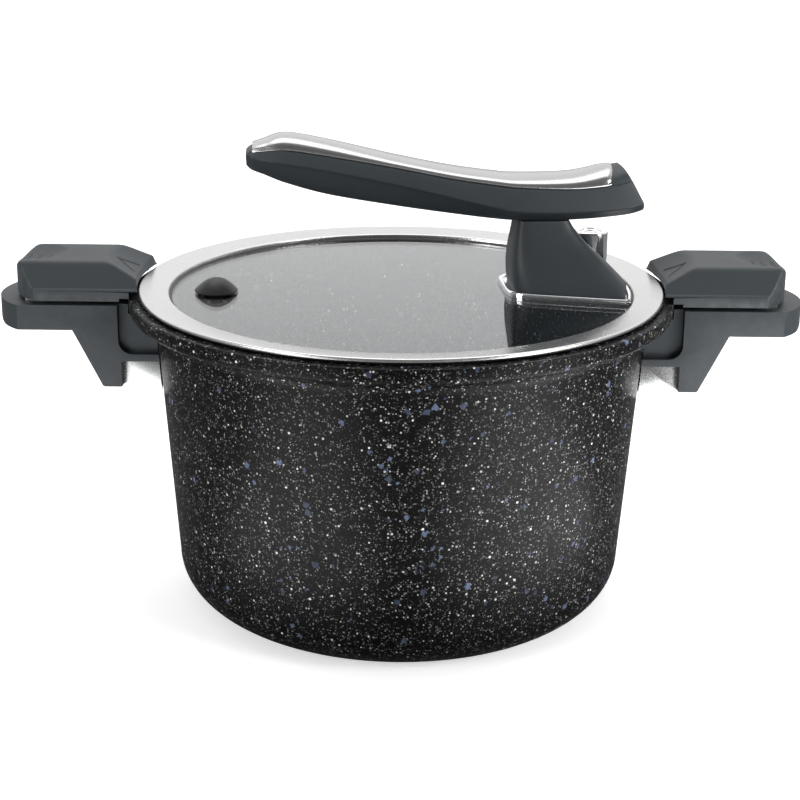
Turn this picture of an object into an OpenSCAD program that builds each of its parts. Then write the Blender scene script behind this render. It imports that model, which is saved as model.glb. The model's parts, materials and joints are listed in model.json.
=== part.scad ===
// Stovetop pressure cooker with a glass lid, a lever handle and two sliding lid locks.
// Origin at the centre of the base, +Z up, side handles along X, lid lever towards +X.

/* [Pot] */
// Outer radius of the wall just under the collar
pot_r = 116.8; // [100:0.2:140]
// Outer radius of the wall where the base corner starts
pot_r_low = 108.6; // [92:0.2:130]
// Height of the collar's top face
pot_h = 149; // [120:0.5:190]
// Thickness of the cast wall
pot_wall = 4.4; // [3.5:0.1:6]
// Thickness of the cast floor above the induction plate
pot_floor = 4.6; // [3:0.1:8]
// Radius of the outer base corner
base_round = 20; // [12:0.5:28]
// Width that the collar stands out from the wall
collar_out = 12.7; // [10:0.1:16]
// Height of the collar band
collar_band = 7.5; // [6:0.1:12]
// Radius of the fillet under the collar
collar_fillet = 9; // [5:0.5:10]
// Depth of the seat that the lid gasket rests in
seat_depth = 7; // [6:0.1:8]

/* [Induction plate] */
// Thickness of the plate's visible edge
plate_edge = 0.9; // [0.6:0.1:2]
// Thickness of the part let into the base
plate_boss = 1.5; // [1:0.1:3]
// Number of rows of punched holes in the plate
plate_rows = 3; // [1:1:4]

/* [Side handles] */
// Half width of a side handle
grip_half = 28; // [22:0.5:32]
// Reach of a handle past the collar
grip_reach = 62.5; // [58:0.5:72]
// Thickness of a handle's arm
grip_thick = 12; // [11:0.5:16]
// Gap below the collar's top face where the arm's top lies
grip_drop = 3; // [3:0.1:6]
// Height of the leg below the arm
leg_h = 27.5; // [22:0.5:32]
// Radius of a handle's outer end, seen from above
grip_end_r = 36; // [30:0.5:60]
// Half width of the cast lug that a handle bolts to
lug_half = 10.5; // [9:0.5:14]
// Height of the cast lug
lug_h = 15.6; // [14:0.1:20]
// Thickness of the steel flame guard
guard_wall = 1; // [0.8:0.1:2]

/* [Lid locks] */
// Height of a lock slider
lock_h = 17; // [15:0.5:22]
// Travel inwards to the locked place
lock_in = 4; // [3:0.1:5]
// Travel outwards to the open place
lock_open = 6; // [3:0.1:7]
// Thickness of the steel guide plate
guide_t = 1.6; // [1.2:0.1:2]

/* [Lid] */
// Width of the collar left bare outside the rim
rim_ledge = 4.5; // [4:0.1:7]
// Width of the steel rim
rim_w = 14.3; // [12:0.1:18]
// Height of the rim's outer edge above the collar
rim_rise = 3; // [2.8:0.1:5]
// Thickness of the rim sheet
rim_t = 0.9; // [0.7:0.1:1.2]
// Thickness of the glass
glass_t = 4; // [3:0.5:5]
// Turn of the resting lid against the side handles, in degrees
lid_turn = 5.7; // [0:0.1:8]

/* [Lever] */
// Height of the lever's lowest face above the glass
lever_rise = 35; // [32:0.5:50]
// Half width of the lever
lever_half = 16; // [13:0.5:18]
// Thickness of the lever's steel cover
cover_t = 1.2; // [0.8:0.1:1.6]

/* [Valve and vent] */
// Outer radius of the valve tube
valve_r = 8.4; // [7:0.1:9]
// Height of the valve tube above the glass
valve_h = 24; // [20:0.5:30]
// Distance of the valve's axis from the rim's inner edge
valve_in = 12.7; // [12:0.1:16]
// Widest radius of the vent plug
vent_r = 10.3; // [8:0.1:12]
// Distance of the vent plug's axis from the rim's inner edge
vent_in = 22.2; // [18:0.1:40]

/* [Hidden] */
$fn = 96;
eps = 0.02;
// How far a cut runs past the face it opens
past = 1;
// Gap kept between pieces that move past each other
slip = 0.4;
// Radial gap of a screw or plug in its own hole
fit = 0.05;
m3_r = 1.5;
m3_head_r = 2.8;
m3_head_t = 1.6;
m4_r = 2;
m4_head_r = 3.7;
m4_head_t = 2.4;
m5_r = 2.5;

// Pot, worked out
pot_base = plate_edge;
floor_z = pot_base + plate_boss + pot_floor;
corner_z = pot_base + base_round;
plate_r = pot_r_low - base_round;
plate_boss_r = plate_r - 2.6;
dimple_pitch = plate_r / 4.43;
dimple_r = 3;
collar_r = pot_r + collar_out;
collar_low = pot_h - collar_band;
collar_round = 3;
collar_edge = 0.8;
seat_z = pot_h - seat_depth;
collar_top_w = 10;
seat_r = collar_r - collar_top_w;
mouth_r = pot_r - pot_wall;
mouth_low_r = pot_r_low - pot_wall;
inner_round = base_round - 2;
wall_rise = collar_low - collar_fillet;

// Lid, worked out
glass_drop = 1;
glass_top = pot_h - glass_drop;
glass_low = glass_top - glass_t;
glass_inset = 4.5;
glass_r = seat_r - glass_inset;
rim_r = collar_r - rim_ledge;
rim_in = rim_r - rim_w;
rim_top = pot_h + rim_rise;
rim_inner_top = glass_top + 2.4;
rim_hem = 1.3;
rim_lip = 1.6;
gasket_r = seat_r - slip;
gasket_lip = 0.9;
gasket_lip_r = mouth_r - gasket_lip;
gasket_gap = 0.1;
gasket_flange_z = pot_h + slip;

// Side handles, worked out; a handle is drawn on the +X side
arm_top = pot_h - grip_drop;
arm_low = arm_top - grip_thick;
arm_end = collar_r + grip_reach;
arm_corner = 13.5;
arm_flat_end = arm_end - arm_corner;
plan_lap = 5;
lug_drop = 16;
lug_top = arm_low - lug_drop;
lug_low = lug_top - lug_h;
lug_end = collar_r + 0.5;
lug_bolt = 13;
leg_in = lug_end + guard_wall;
leg_low = arm_low - leg_h;
leg_foot = 8;
leg_slope = 13.3;
foot_bevel = 1;
web_low = lug_top + guard_wall;
web_t = 3.5;
saddle_half = grip_half - 3.5;
saddle_gap = 0.3;
rebate_r = 6.6;
rebate_x = collar_r + 2.5;
arm_round = 6;
handle_screw_y = 5.6;
handle_screw_z = lug_low + lug_h / 2;
handle_screw_len = 18;
head_gap = 0.4;
well_len = 40;
screw_head_r = 4.6;
screw_head_t = 3;

// Slide guide under each lock
guide_z = arm_top;
guide_top = guide_z + guide_t;
guide_in = collar_r + 8.5;
guide_out = arm_end - 15.5;
guide_half = 20;
guide_screw_x = [guide_in + 5, guide_out - 9];
guide_screw_y = 14;
guide_screw_len = 9;
stem_x = collar_r + 25.5;
stem_len = 10;
stem_half = 3.6;
keeper_len = 14;
keeper_half = 8;
keeper_t = 1.5;
keeper_top = guide_z - 1;
pocket_depth = 6.5;
pocket_gap = 1;
pocket_half = keeper_half + pocket_gap;
pocket_len = keeper_len + lock_in + lock_open + 2 * pocket_gap;
pocket_in = stem_x - keeper_len / 2 - lock_in - pocket_gap;
detent_x = guide_out - 5;
detent_r = 2;
detent_depth = 10;
detent_gap = 0.1;
notch_drop = 0.8;
guide_screw_gap = 0.5;
detent_wire = 0.3;
detent_turns = 5;
keeper_screw_len = 9;

// Locks, worked out
lock_low = guide_top + slip;
lock_top = lock_low + lock_h;
lock_end = arm_end - 8.3;
lock_flat_end = lock_end - 12.7;
lock_skirt = 5.6;
lock_ledge = 1.4;
lock_top_half = grip_half - 9.5;
lock_shoulder = 9;
panel_slope = 0.54;
panel_out = collar_r + 12.5;
jaw_r = rim_r + slip;
jaw_low = rim_top + 0.6;
thumb_x = lock_end - 8;
thumb_r = 40;
thumb_depth = 3.4;
thumb_rib = 0.5;
arrow_apex = collar_r + 6.5;
arrow_len = 11;
arrow_angle = 32;
arrow_w = 0.9;
arrow_depth = 0.6;
hollow_x = guide_in + 6;
hollow_len = 32;
hollow_in = stem_half + 3.9;
hollow_out = grip_half - 8.5;
hollow_roof = 6;
rib_pitch = 4;
rib_start = 3;
ledge_bevel = 0.5;
ledge_h = 1.5;
ledge_in = 1.2;

// Post and lever, worked out; drawn in the lid's own frame
bezel_t = 2.4;
bezel_floor = 1.2;
bezel_lip = 2.4;
// The bezel, post and lever are drawn for this inner rim radius and stretch with the lid
drawn_in = 110.7;
along = rim_in / drawn_in;
bezel_left = 49 * along;
bezel_right = 113 * along;
bezel_h_left = 19.5 * along;
bezel_h_right = 39 * along;
bezel_gap = 0.8;
bezel_arc = rim_in - bezel_gap;
seal_t = 0.6;
post_low = glass_top + bezel_floor;
post_top = glass_top + lever_rise;
clamp_gap = 1;
clamp_t = 1.5;
clamp_low = glass_low - clamp_gap - clamp_t;
clamp_arc = mouth_r - 5;
clamp_grow = -6;
post_arc = bezel_arc - bezel_lip - 0.3;
post_screw_x = [66 * along, 86 * along];
post_screw_len = 20;
lever_screw_x = [62 * along, 72 * along];
lever_screw_seat = 9;
lever_screw_len = 20;
lever_well_r = 4;
// turn that keeps a well's seam off the lever's crest line
well_turn = 13;
lever_hole = 12;
post_hole = 15;
valve_angle = 10.8;
valve_dist = rim_in - valve_in;
valve_x = valve_dist * cos(valve_angle);
valve_y = valve_dist * sin(valve_angle);
valve_top = glass_top + valve_h;
valve_wall = 3.2;
valve_bore = valve_r - valve_wall;
valve_stem_r = 6.5;
valve_stem_low = glass_low - 10;
valve_floor = post_low + 3;
valve_vent_r = 2.2;
valve_cone = 2;
valve_edge = 0.8;
valve_nut_t = 4;
valve_nut_r = 10.4;
cap_t = 2.4;
cap_top = valve_top - 0.6;
pin_rod_r = 2.6;
pin_disc_r = valve_bore - 0.5;
pin_disc_t = 2;
pin_disc_z = valve_floor + 3;
pin_seat_gap = 0.1;
pin_taper = 0.4;
pin_tip = 1.4;
rod_gap = 0.3;
spring_wire = 0.5;
spring_turns = 5;
relief_gap = 1.6;
relief_len = 40;
vent_stem_r = 3.2;
vent_dist = rim_in - vent_in;
vent_h = 7.2;
vent_wide = 0.7;
vent_under = 0.7;
vent_barb = 1.6;
vent_barb_len = 4;
vent_lift = 3;
eyelet_wall = 1.2;
eyelet_r = vent_stem_r + slip + eyelet_wall;
eyelet_flange = 2.6;
eyelet_t = 0.6;

cover_seat = 0.1;

// Lever stations: place along the lever, then crest, cover edge, crease and
// underside as heights above the lever's lowest face, and the half width share.
lever_stations = [
    [-73.5, 34.4, 33.3, 31.2, 27.2, 0.5],
    [-71, 36.4, 34.4, 30.6, 24.8, 0.66],
    [-65, 38.6, 35.4, 29.4, 22.5, 0.78],
    [-55, 41.4, 36, 28.4, 18.6, 0.9],
    [-35, 38, 33, 25, 13, 0.93],
    [-4, 30.5, 27.4, 18.5, 7.5, 0.94],
    [22, 25.2, 22.2, 12.2, 3.6, 0.95],
    [42, 22.3, 19.2, 7.4, 1, 0.97],
    [55, 21.2, 17.8, 5, 0, 1],
    [80, 21.9, 17.1, 4.8, 0, 1],
    [97, 25.6, 19, 6.3, 2, 0.97],
    [104, 27, 21, 8, 4.5, 0.9]
];
lever_steps = 3;
lever_step = 0.6;
end_slope = 0.52;
end_from = 80 * along;
end_at = 104 * along;
cover_inset = 0.9;
cover_from = 1;
cover_to = len(lever_stations) - 2;

// Post levels: share of the height, then left edge, right edge and half widths
post_levels = [
    [0, 53.2, 107, 17, 34],
    [0.03, 53, 107.6, 17.2, 34.4],
    [0.09, 52.6, 107.4, 17, 33.6],
    [0.2, 52.2, 104.6, 16.6, 30.5],
    [0.38, 52, 98.5, 15.6, 24],
    [0.6, 52.6, 90.5, 13.8, 17],
    [0.84, 53.8, 83, 11.8, 12.6],
    [1, 54.5, 79.5, 11, 11.4]
];
post_points = 48;
post_square = 6;

// ---------- shared shapes ----------

// Points of an arc in the plane
function arc(cx, cy, r, from, to, steps = 10) =
    [for (i = [0 : steps]) let (a = from + (to - from) * i / steps) [cx + r * cos(a), cy + r * sin(a)]];

// Smooth curve through four rows of numbers
function curve(p0, p1, p2, p3, t) =
    0.5 * (2 * p1 + (p2 - p0) * t + (2 * p0 - 5 * p1 + 4 * p2 - p3) * t * t
    + (3 * p1 - p0 - 3 * p2 + p3) * t * t * t);

// Rows of a table with steps - 1 smooth rows added between each two
function smooth_rows(rows, steps) = [
    for (i = [0 : len(rows) - 2])
        for (k = [0 : steps - 1])
            curve(rows[max(i - 1, 0)], rows[i], rows[i + 1], rows[min(i + 2, len(rows) - 1)], k / steps),
    rows[len(rows) - 1]
];

// Closed body through rings of points, all with the same count
module loft(rings) {
    n = len(rings[0]);
    last = (len(rings) - 1) * n;
    sides = [
        for (j = [0 : len(rings) - 2])
            for (i = [0 : n - 1])
                let (k = (i + 1) % n)
                each [
                    [j * n + i, j * n + k, (j + 1) * n + k],
                    [j * n + i, (j + 1) * n + k, (j + 1) * n + i]
                ]
    ];
    low_cap = [for (i = [n - 1 : -1 : 0]) i];
    high_cap = [for (i = [0 : n - 1]) last + i];
    polyhedron([for (r = rings) each r], concat([low_cap], sides, [high_cap]));
}

// Rounded fan outline: straight left edge, wider right edge, evenly rounded corners
function fan(left, right, h_left, h_right, square, count) = [
    for (i = [0 : count - 1])
        let (
            a = -360 * i / count,
            u = sign(cos(a)) * pow(abs(cos(a)), 2 / square),
            v = sign(sin(a)) * pow(abs(sin(a)), 2 / square),
            x = (left + right) / 2 + (right - left) / 2 * u,
            h = h_left + (h_right - h_left) * (x - left) / (right - left)
        )
        [x, h * v]
];

// Helical compression spring with its axis along Z
module coil(mean_r, wire_r, height, turns, sides = 6, ring_step = 30) {
    count = turns * 360 / ring_step;
    rise = height - 2 * wire_r;
    rings = [
        for (i = [0 : count])
            let (a = i * ring_step, z = wire_r + rise * i / count)
            [for (s = [0 : sides - 1])
                let (b = -s * 360 / sides)
                [(mean_r + wire_r * cos(b)) * cos(a), (mean_r + wire_r * cos(b)) * sin(a), z + wire_r * sin(b)]]
    ];
    loft(rings);
}

// Pan-head screw: the head lies below z = 0 and the shank rises above it
module pan_screw(r, len, head_r, head_t) {
    difference() {
        union() {
            cylinder(r = r, h = len);
            translate([0, 0, -head_t]) cylinder(r = head_r, h = head_t);
        }
        translate([0, 0, -head_t - eps]) cylinder(r = head_r / 2, h = head_t / 2, $fn = 6);
    }
}

// Puts a piece drawn on the +X side on the side asked for
module side(name) {
    mirror([name == "left" ? 1 : 0, 0, 0]) children();
}

// Turns a piece from the lid's own frame to where the lid rests
module on_lid() {
    rotate([0, 0, lid_turn]) children();
}

// The same turn for the points of a lofted piece, lifted to a height
function lid_points(points, z) = [
    for (p = points)
        [p[0] * cos(lid_turn) - p[1] * sin(lid_turn), p[0] * sin(lid_turn) + p[1] * cos(lid_turn), p[2] + z]
];

// ---------- pot ----------

function pot_outer() = concat(
    [[plate_boss_r, pot_base]],
    arc(plate_r, corner_z, base_round, -90, 0, 16),
    arc(pot_r + collar_fillet, wall_rise, collar_fillet, 180, 90, 12),
    arc(collar_r - collar_round, collar_low + collar_round, collar_round, -90, 0, 8),
    arc(collar_r - collar_edge, pot_h - collar_edge, collar_edge, 0, 90, 5)
);

module pot_body() {
    inner = concat(
        [[seat_r, pot_h], [seat_r, seat_z], [mouth_r, seat_z]],
        arc(mouth_low_r - inner_round, floor_z + inner_round, inner_round, 0, -90, 14),
        [[0, floor_z], [0, pot_base + plate_boss], [plate_boss_r, pot_base + plate_boss]]
    );
    color("#1c1d20") difference() {
        union() {
            rotate_extrude() polygon(concat(pot_outer(), inner));
            for (s = ["left", "right"]) side(s)
                translate([mouth_r + past, -lug_half, lug_low])
                    cube([lug_end - mouth_r - past, 2 * lug_half, lug_h]);
        }
        for (s = ["left", "right"], y = [-1, 1]) side(s)
            translate([lug_end - lug_bolt, y * handle_screw_y, handle_screw_z])
                rotate([0, 90, 0]) cylinder(r = m5_r + fit, h = lug_bolt + past);
    }
}

module induction_plate() {
    color("#c4c6c8") difference() {
        union() {
            cylinder(r = plate_r, h = plate_edge);
            cylinder(r = plate_boss_r - fit, h = plate_edge + plate_boss);
        }
        for (row = [1 : plate_rows], i = [0 : 6 * row - 1])
            rotate([0, 0, i * 60 / row]) translate([row * dimple_pitch, 0, -eps])
                cylinder(r = dimple_r, h = plate_edge / 2, $fn = 24);
    }
}

// ---------- side handles ----------

// Space that the pot takes, with the gap that the handles keep from it
module pot_space(gap) {
    rotate_extrude() polygon(concat(
        [[0, pot_h + past], [0, 0], [pot_r_low + gap, 0]],
        arc(pot_r + collar_fillet, wall_rise, collar_fillet - gap, 180, 90, 12),
        [[collar_r + gap, collar_low - gap], [collar_r + gap, pot_h + past]]
    ));
}

// Outline from above that a handle or a lock stays in
module grip_plan(flat_end, end, half, z, h) {
    translate([0, 0, z]) {
        translate([mouth_r, -half, 0]) cube([flat_end - mouth_r, 2 * half, h]);
        intersection() {
            translate([end - grip_end_r, 0, 0]) cylinder(r = grip_end_r, h = h);
            translate([flat_end - plan_lap, -half, 0]) cube([end, 2 * half, h]);
        }
    }
}

module handle_profile() {
    polygon(concat(
        [[rebate_x, arm_top], [arm_end, arm_top]],
        arc(arm_end - arm_round, arm_low + arm_round, arm_round, 0, -90, 8),
        [
            [leg_in + leg_foot + foot_bevel + leg_slope, arm_low],
            [leg_in + leg_foot + foot_bevel, leg_low + foot_bevel / 2],
            [leg_in + leg_foot, leg_low],
            [leg_in, leg_low],
            [leg_in, web_low],
            [mouth_r, web_low],
            [mouth_r, web_low + web_t]
        ],
        arc(rebate_x - rebate_r, web_low + web_t + rebate_r, rebate_r, -90, 0, 10)
    ));
}

module handle_base() {
    color("#3d454a") difference() {
        union() {
            intersection() {
                translate([0, grip_half, 0]) rotate([90, 0, 0])
                    linear_extrude(height = 2 * grip_half) handle_profile();
                grip_plan(arm_flat_end, arm_end, grip_half, leg_low - past, arm_top - leg_low + 2 * past);
            }
            translate([mouth_r, -saddle_half, web_low + web_t / 2])
                cube([rebate_x - mouth_r + past, 2 * saddle_half, arm_top - web_low - web_t / 2]);
        }
        pot_space(saddle_gap);
        // pocket that the lock's keeper slides in
        translate([pocket_in, -pocket_half, guide_z - pocket_depth])
            cube([pocket_len, 2 * pocket_half, pocket_depth + past]);
        for (x = guide_screw_x, y = [-1, 1])
            translate([x, y * guide_screw_y, guide_z - guide_screw_len])
                cylinder(r = m3_r + fit, h = guide_screw_len + past);
        translate([detent_x, 0, guide_z - detent_depth])
            cylinder(r = detent_r + detent_gap, h = detent_depth + past);
        for (y = [-1, 1]) translate([leg_in - past, y * handle_screw_y, handle_screw_z]) rotate([0, 90, 0]) {
            cylinder(r = m5_r + fit, h = well_len);
            translate([0, 0, past + leg_foot - screw_head_t / 2])
                cylinder(r = screw_head_r + head_gap, h = well_len);
        }
    }
}

module flame_guard() {
    out = saddle_half - guard_wall;
    low = lug_low - guard_wall;
    inside = out - guard_wall;
    color("#c9cbcd") difference() {
        union() {
            translate([mouth_r, -out, low]) cube([leg_in - mouth_r, 2 * out, web_low - low]);
            translate([leg_in - guard_wall, -out, low]) cube([leg_foot / 2, 2 * out, leg_low - low - fit]);
        }
        translate([mouth_r - past, -inside, lug_low]) cube([lug_end - mouth_r + past, 2 * inside, lug_h]);
        pot_space(saddle_gap);
        for (y = [-1, 1]) translate([lug_end - past, y * handle_screw_y, handle_screw_z])
            rotate([0, 90, 0]) cylinder(r = m5_r + fit, h = guard_wall + 2 * past);
    }
}

module handle_screws() {
    color("#b9bcbf") for (y = [-1, 1])
        translate([leg_in + leg_foot - screw_head_t / 2, y * handle_screw_y, handle_screw_z])
            rotate([0, -90, 0]) pan_screw(m5_r, handle_screw_len, screw_head_r, screw_head_t);
}

module guide_plate() {
    color("#a9adb0") difference() {
        translate([guide_in, -guide_half, guide_z])
            cube([guide_out - guide_in, 2 * guide_half, guide_t]);
        translate([stem_x - stem_len / 2 - lock_in - slip, -stem_half - slip, guide_z - past])
            cube([stem_len + lock_in + lock_open + 2 * slip, 2 * (stem_half + slip), guide_t + 2 * past]);
        for (x = guide_screw_x, y = [-1, 1]) translate([x, y * guide_screw_y, guide_z]) {
            translate([0, 0, -past]) cylinder(r = m3_r + fit, h = guide_t + 2 * past);
            cylinder(r1 = m3_r + fit, r2 = 2 * m3_r + fit, h = guide_t + eps);
        }
        translate([detent_x, 0, guide_z - past]) cylinder(r = detent_r + detent_gap, h = guide_t + 2 * past);
    }
}

module guide_screws() {
    color("#b9bcbf") for (x = guide_screw_x, y = [-1, 1]) translate([x, y * guide_screw_y, guide_z]) {
        translate([0, 0, guide_screw_gap - guide_screw_len]) cylinder(r = m3_r, h = guide_screw_len);
        cylinder(r1 = m3_r, r2 = 2 * m3_r, h = guide_t);
    }
}

module detent_ball() {
    color("#d0d2d4") translate([detent_x, 0, guide_top - detent_r]) sphere(r = detent_r);
}

module detent_spring() {
    low = guide_z - detent_depth;
    color("#8f9498") translate([detent_x, 0, low + eps])
        coil(detent_r - spring_wire, detent_wire, guide_top - 2 * detent_r - low - 2 * eps, detent_turns);
}

// ---------- lid locks ----------

module lock_section() {
    half = [
        [grip_half, lock_low],
        [grip_half, lock_low + lock_skirt],
        [grip_half - lock_ledge, lock_low + lock_skirt + ledge_bevel],
        [lock_top_half + ledge_h, lock_top - ledge_h],
        [lock_top_half - ledge_in, lock_top]
    ];
    polygon(concat(half, [for (i = [len(half) - 1 : -1 : 0]) [-half[i][0], half[i][1]]]));
}

module lock_side() {
    inner = mouth_r;
    polygon(concat(
        [[inner, lock_low], [lock_end, lock_low]],
        arc(lock_end - lock_shoulder, lock_top - lock_shoulder, lock_shoulder, 0, 90, 10),
        [[panel_out, lock_top], [inner, lock_top - (panel_out - inner) * panel_slope]]
    ));
}

module lock_slider() {
    color("#3b4348") difference() {
        union() {
            intersection() {
                rotate([90, 0, 90]) linear_extrude(height = arm_end) lock_section();
                translate([0, grip_half + past, 0]) rotate([90, 0, 0])
                    linear_extrude(height = 2 * (grip_half + past)) lock_side();
                grip_plan(lock_flat_end, lock_end, grip_half, lock_low, lock_h);
            }
            translate([stem_x - stem_len / 2, -stem_half, keeper_top])
                cube([stem_len, 2 * stem_half, lock_low - keeper_top + past]);
        }
        // jaw: clear of the rim, of the rim's edge once locked, and of the collar once locked
        translate([0, 0, lock_low - past]) cylinder(r = jaw_r, h = lock_h + 2 * past);
        translate([0, 0, lock_low - past]) cylinder(r = jaw_r + lock_in, h = jaw_low - lock_low + past);
        translate([0, 0, lock_low - past])
            cylinder(r = collar_r + lock_in + slip, h = pot_h + slip - lock_low + past);
        // hollows that keep the moulded walls even
        for (y = [-1, 1]) mirror([0, y < 0 ? 1 : 0, 0]) translate([hollow_x, hollow_in, lock_low - eps])
            cube([hollow_len, hollow_out - hollow_in, lock_h - hollow_roof]);
        // notches that the detent ball drops into
        for (q = [-lock_in, 0, lock_open])
            translate([detent_x - q, 0, lock_low - notch_drop]) sphere(r = detent_r + detent_gap);
        translate([stem_x, 0, keeper_top - past]) cylinder(r = m3_r + fit, h = keeper_screw_len + past);
        // thumb hollow with its grip ribs
        difference() {
            translate([thumb_x, 0, lock_top - thumb_depth + thumb_r]) sphere(r = thumb_r);
            for (i = [0 : 2])
                translate([thumb_x - rib_start + rib_pitch * i, -grip_half, lock_top - thumb_depth])
                    rotate([-90, 0, 0]) cylinder(r = thumb_rib, h = 2 * grip_half);
        }
        // arrow that points outwards
        translate([arrow_apex, 0, lock_top - (panel_out - arrow_apex) * panel_slope])
            rotate([0, -atan(panel_slope), 0])
                for (a = [-1, 1]) rotate([0, 0, 180 + a * arrow_angle / 2])
                    translate([0, -arrow_w / 2, -arrow_depth]) cube([arrow_len, arrow_w, 2 * arrow_depth]);
    }
}

module lock_keeper() {
    color("#a9adb0") difference() {
        translate([stem_x - keeper_len / 2, -keeper_half, keeper_top - keeper_t])
            cube([keeper_len, 2 * keeper_half, keeper_t]);
        translate([stem_x, 0, keeper_top - keeper_t - past]) cylinder(r = m3_r + fit, h = keeper_t + 2 * past);
    }
}

module keeper_screw() {
    color("#b9bcbf") translate([stem_x, 0, keeper_top - keeper_t]) 
        pan_screw(m3_r, keeper_screw_len, m3_head_r, m3_head_t);
}

// ---------- lid ----------

// Height of the rim sheet's underside at a radius
function rim_under(r) = rim_inner_top - rim_t + (rim_top - rim_inner_top) * (r - rim_in) / (rim_r - rim_in);

module lid_rim() {
    color("#d9dadb") rotate_extrude() polygon(concat(
        [[rim_in, glass_top]],
        arc(rim_in + rim_t, rim_inner_top - rim_t, rim_t, 180, 100, 6),
        arc(rim_r - rim_t, rim_top - rim_t, rim_t, 95, 0, 6),
        [
            [rim_r, rim_top - rim_lip],
            [rim_r - rim_t, rim_top - rim_lip],
            [rim_r - rim_t, rim_under(rim_r - rim_t)],
            [rim_in + rim_hem, rim_under(rim_in + rim_hem)],
            [rim_in + rim_hem, glass_top]
        ]
    ));
}

module glass_panel() {
    color("#9fb0b8", 0.4) on_lid() difference() {
        translate([0, 0, glass_low]) cylinder(r = glass_r, h = glass_t);
        for (x = post_screw_x) translate([x, 0, glass_low - past])
            cylinder(r = m5_r + slip, h = glass_t + 2 * past);
        translate([valve_x, valve_y, glass_low - past])
            cylinder(r = valve_stem_r + slip, h = glass_t + 2 * past);
        translate([-vent_dist, 0, glass_low - past])
            cylinder(r = eyelet_r + fit, h = glass_t + 2 * past);
    }
}

module lid_gasket() {
    flange = rim_r - rim_t - gasket_gap;
    inner = rim_in + rim_hem + gasket_gap;
    color("#17181a") rotate_extrude() polygon([
        [flange, gasket_flange_z],
        [flange, rim_under(flange)],
        [inner, rim_under(inner)],
        [inner, glass_top],
        [glass_r + fit, glass_top],
        [glass_r + fit, glass_low],
        [gasket_lip_r, glass_low],
        [gasket_lip_r, seat_z],
        [gasket_r, seat_z],
        [gasket_r, gasket_flange_z]
    ]);
}

// Fan plate cut to the arc of the lid
module fan_plate(grow, arc_r, z, h) {
    intersection() {
        translate([0, 0, z]) linear_extrude(height = h) polygon(
            fan(bezel_left - grow, bezel_right + grow, bezel_h_left + grow, bezel_h_right + grow,
                post_square, post_points));
        translate([0, 0, z - past]) cylinder(r = arc_r, h = h + 2 * past);
    }
}

module lid_holes(z, h) {
    for (x = post_screw_x) translate([x, 0, z]) cylinder(r = m5_r + fit, h = h);
    translate([valve_x, valve_y, z]) cylinder(r = valve_stem_r + fit, h = h);
}

module post_bezel() {
    color("#e3e4e6") on_lid() difference() {
        fan_plate(0, bezel_arc, glass_top, bezel_t);
        fan_plate(-bezel_lip, bezel_arc - bezel_lip, glass_top + bezel_floor, bezel_t);
        fan_plate(-bezel_lip, bezel_arc - bezel_lip, glass_top - past, seal_t + past);
        lid_holes(glass_top - past, bezel_t + 2 * past);
    }
}

module bezel_seal() {
    color("#202124") on_lid() difference() {
        fan_plate(-bezel_lip, bezel_arc - bezel_lip, glass_top, seal_t);
        lid_holes(glass_top - past, seal_t + 2 * past);
    }
}

module handle_post() {
    height = post_top - post_low;
    rings = [
        for (row = smooth_rows(post_levels, 2))
            lid_points([
                for (p = fan(row[1], row[2], row[3], row[4], post_square, post_points))
                    let (q = along * p, k = min(1, post_arc / norm(q)))
                    [k * q[0], k * q[1], height * row[0]]
            ], post_low)
    ];
    relief = valve_r + relief_gap;
    color("#3d454a") difference() {
        loft(rings);
        // relief behind the post that the valve tube stands in
        on_lid() translate([valve_x, valve_y, post_low - past]) {
            cylinder(r = relief, h = height);
            translate([-relief, 0, 0]) cube([2 * relief, relief_len, height]);
        }
        on_lid() for (x = post_screw_x) translate([x, 0, post_low - past])
            cylinder(r = m5_r + fit, h = post_hole);
        on_lid() for (x = lever_screw_x) translate([x, 0, post_top - lever_hole])
            cylinder(r = m4_r + fit, h = lever_hole + past);
    }
}

module clamp_pad() {
    color("#202124") on_lid() difference() {
        fan_plate(clamp_grow, clamp_arc, glass_low - clamp_gap, clamp_gap);
        lid_holes(clamp_low, glass_t + clamp_t);
    }
}

module clamp_plate() {
    color("#c4c6c8") on_lid() difference() {
        fan_plate(clamp_grow, clamp_arc, clamp_low, clamp_t);
        lid_holes(clamp_low - past, clamp_t + 2 * past);
    }
}

module post_screws() {
    color("#b9bcbf") on_lid() for (x = post_screw_x)
        translate([x, 0, clamp_low]) pan_screw(m5_r, post_screw_len, screw_head_r, screw_head_t);
}

// ---------- lever ----------

// Slanted end: a point moves outwards as it lies lower, more so near the end
function end_shift(x, z, crest) = end_slope * (crest - z) * max(0, x - end_from) / (end_at - end_from);

// Half section of the lever's top from the crest to the cover's edge, at a depth below it
function crown(row, drop, inset) =
    let (w = lever_half * row[5] - inset)
    [for (i = [0 : 4])
        let (s = i / 4, z = row[1] - (row[1] - row[2]) * s * s - drop)
        [along * row[0] + end_shift(along * row[0], z, row[1]), w * sin(90 * s), z]];

function flip(points) = [for (i = [len(points) - 1 : -1 : 0]) [points[i][0], -points[i][1], points[i][2]]];

function lever_ring(row) =
    let (
        w = lever_half * row[5],
        x = along * row[0],
        under = max(row[4], 0),
        crease = row[3] - under,
        top = crown(row, cover_t + cover_seat, cover_inset),
        low = [
            for (p = [[w, row[2] - cover_t - lever_step], [w, row[3]], [0.86 * w, under + 0.7 * crease],
                      [0.62 * w, under + 0.12 * crease], [0.5 * w, under], [0, under]])
                [x + end_shift(x, p[1], row[1]), p[0], p[1]]
        ],
        half = concat(top, low)
    )
    concat(half, [for (i = [len(half) - 2 : -1 : 1]) [half[i][0], -half[i][1], half[i][2]]]);

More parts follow.
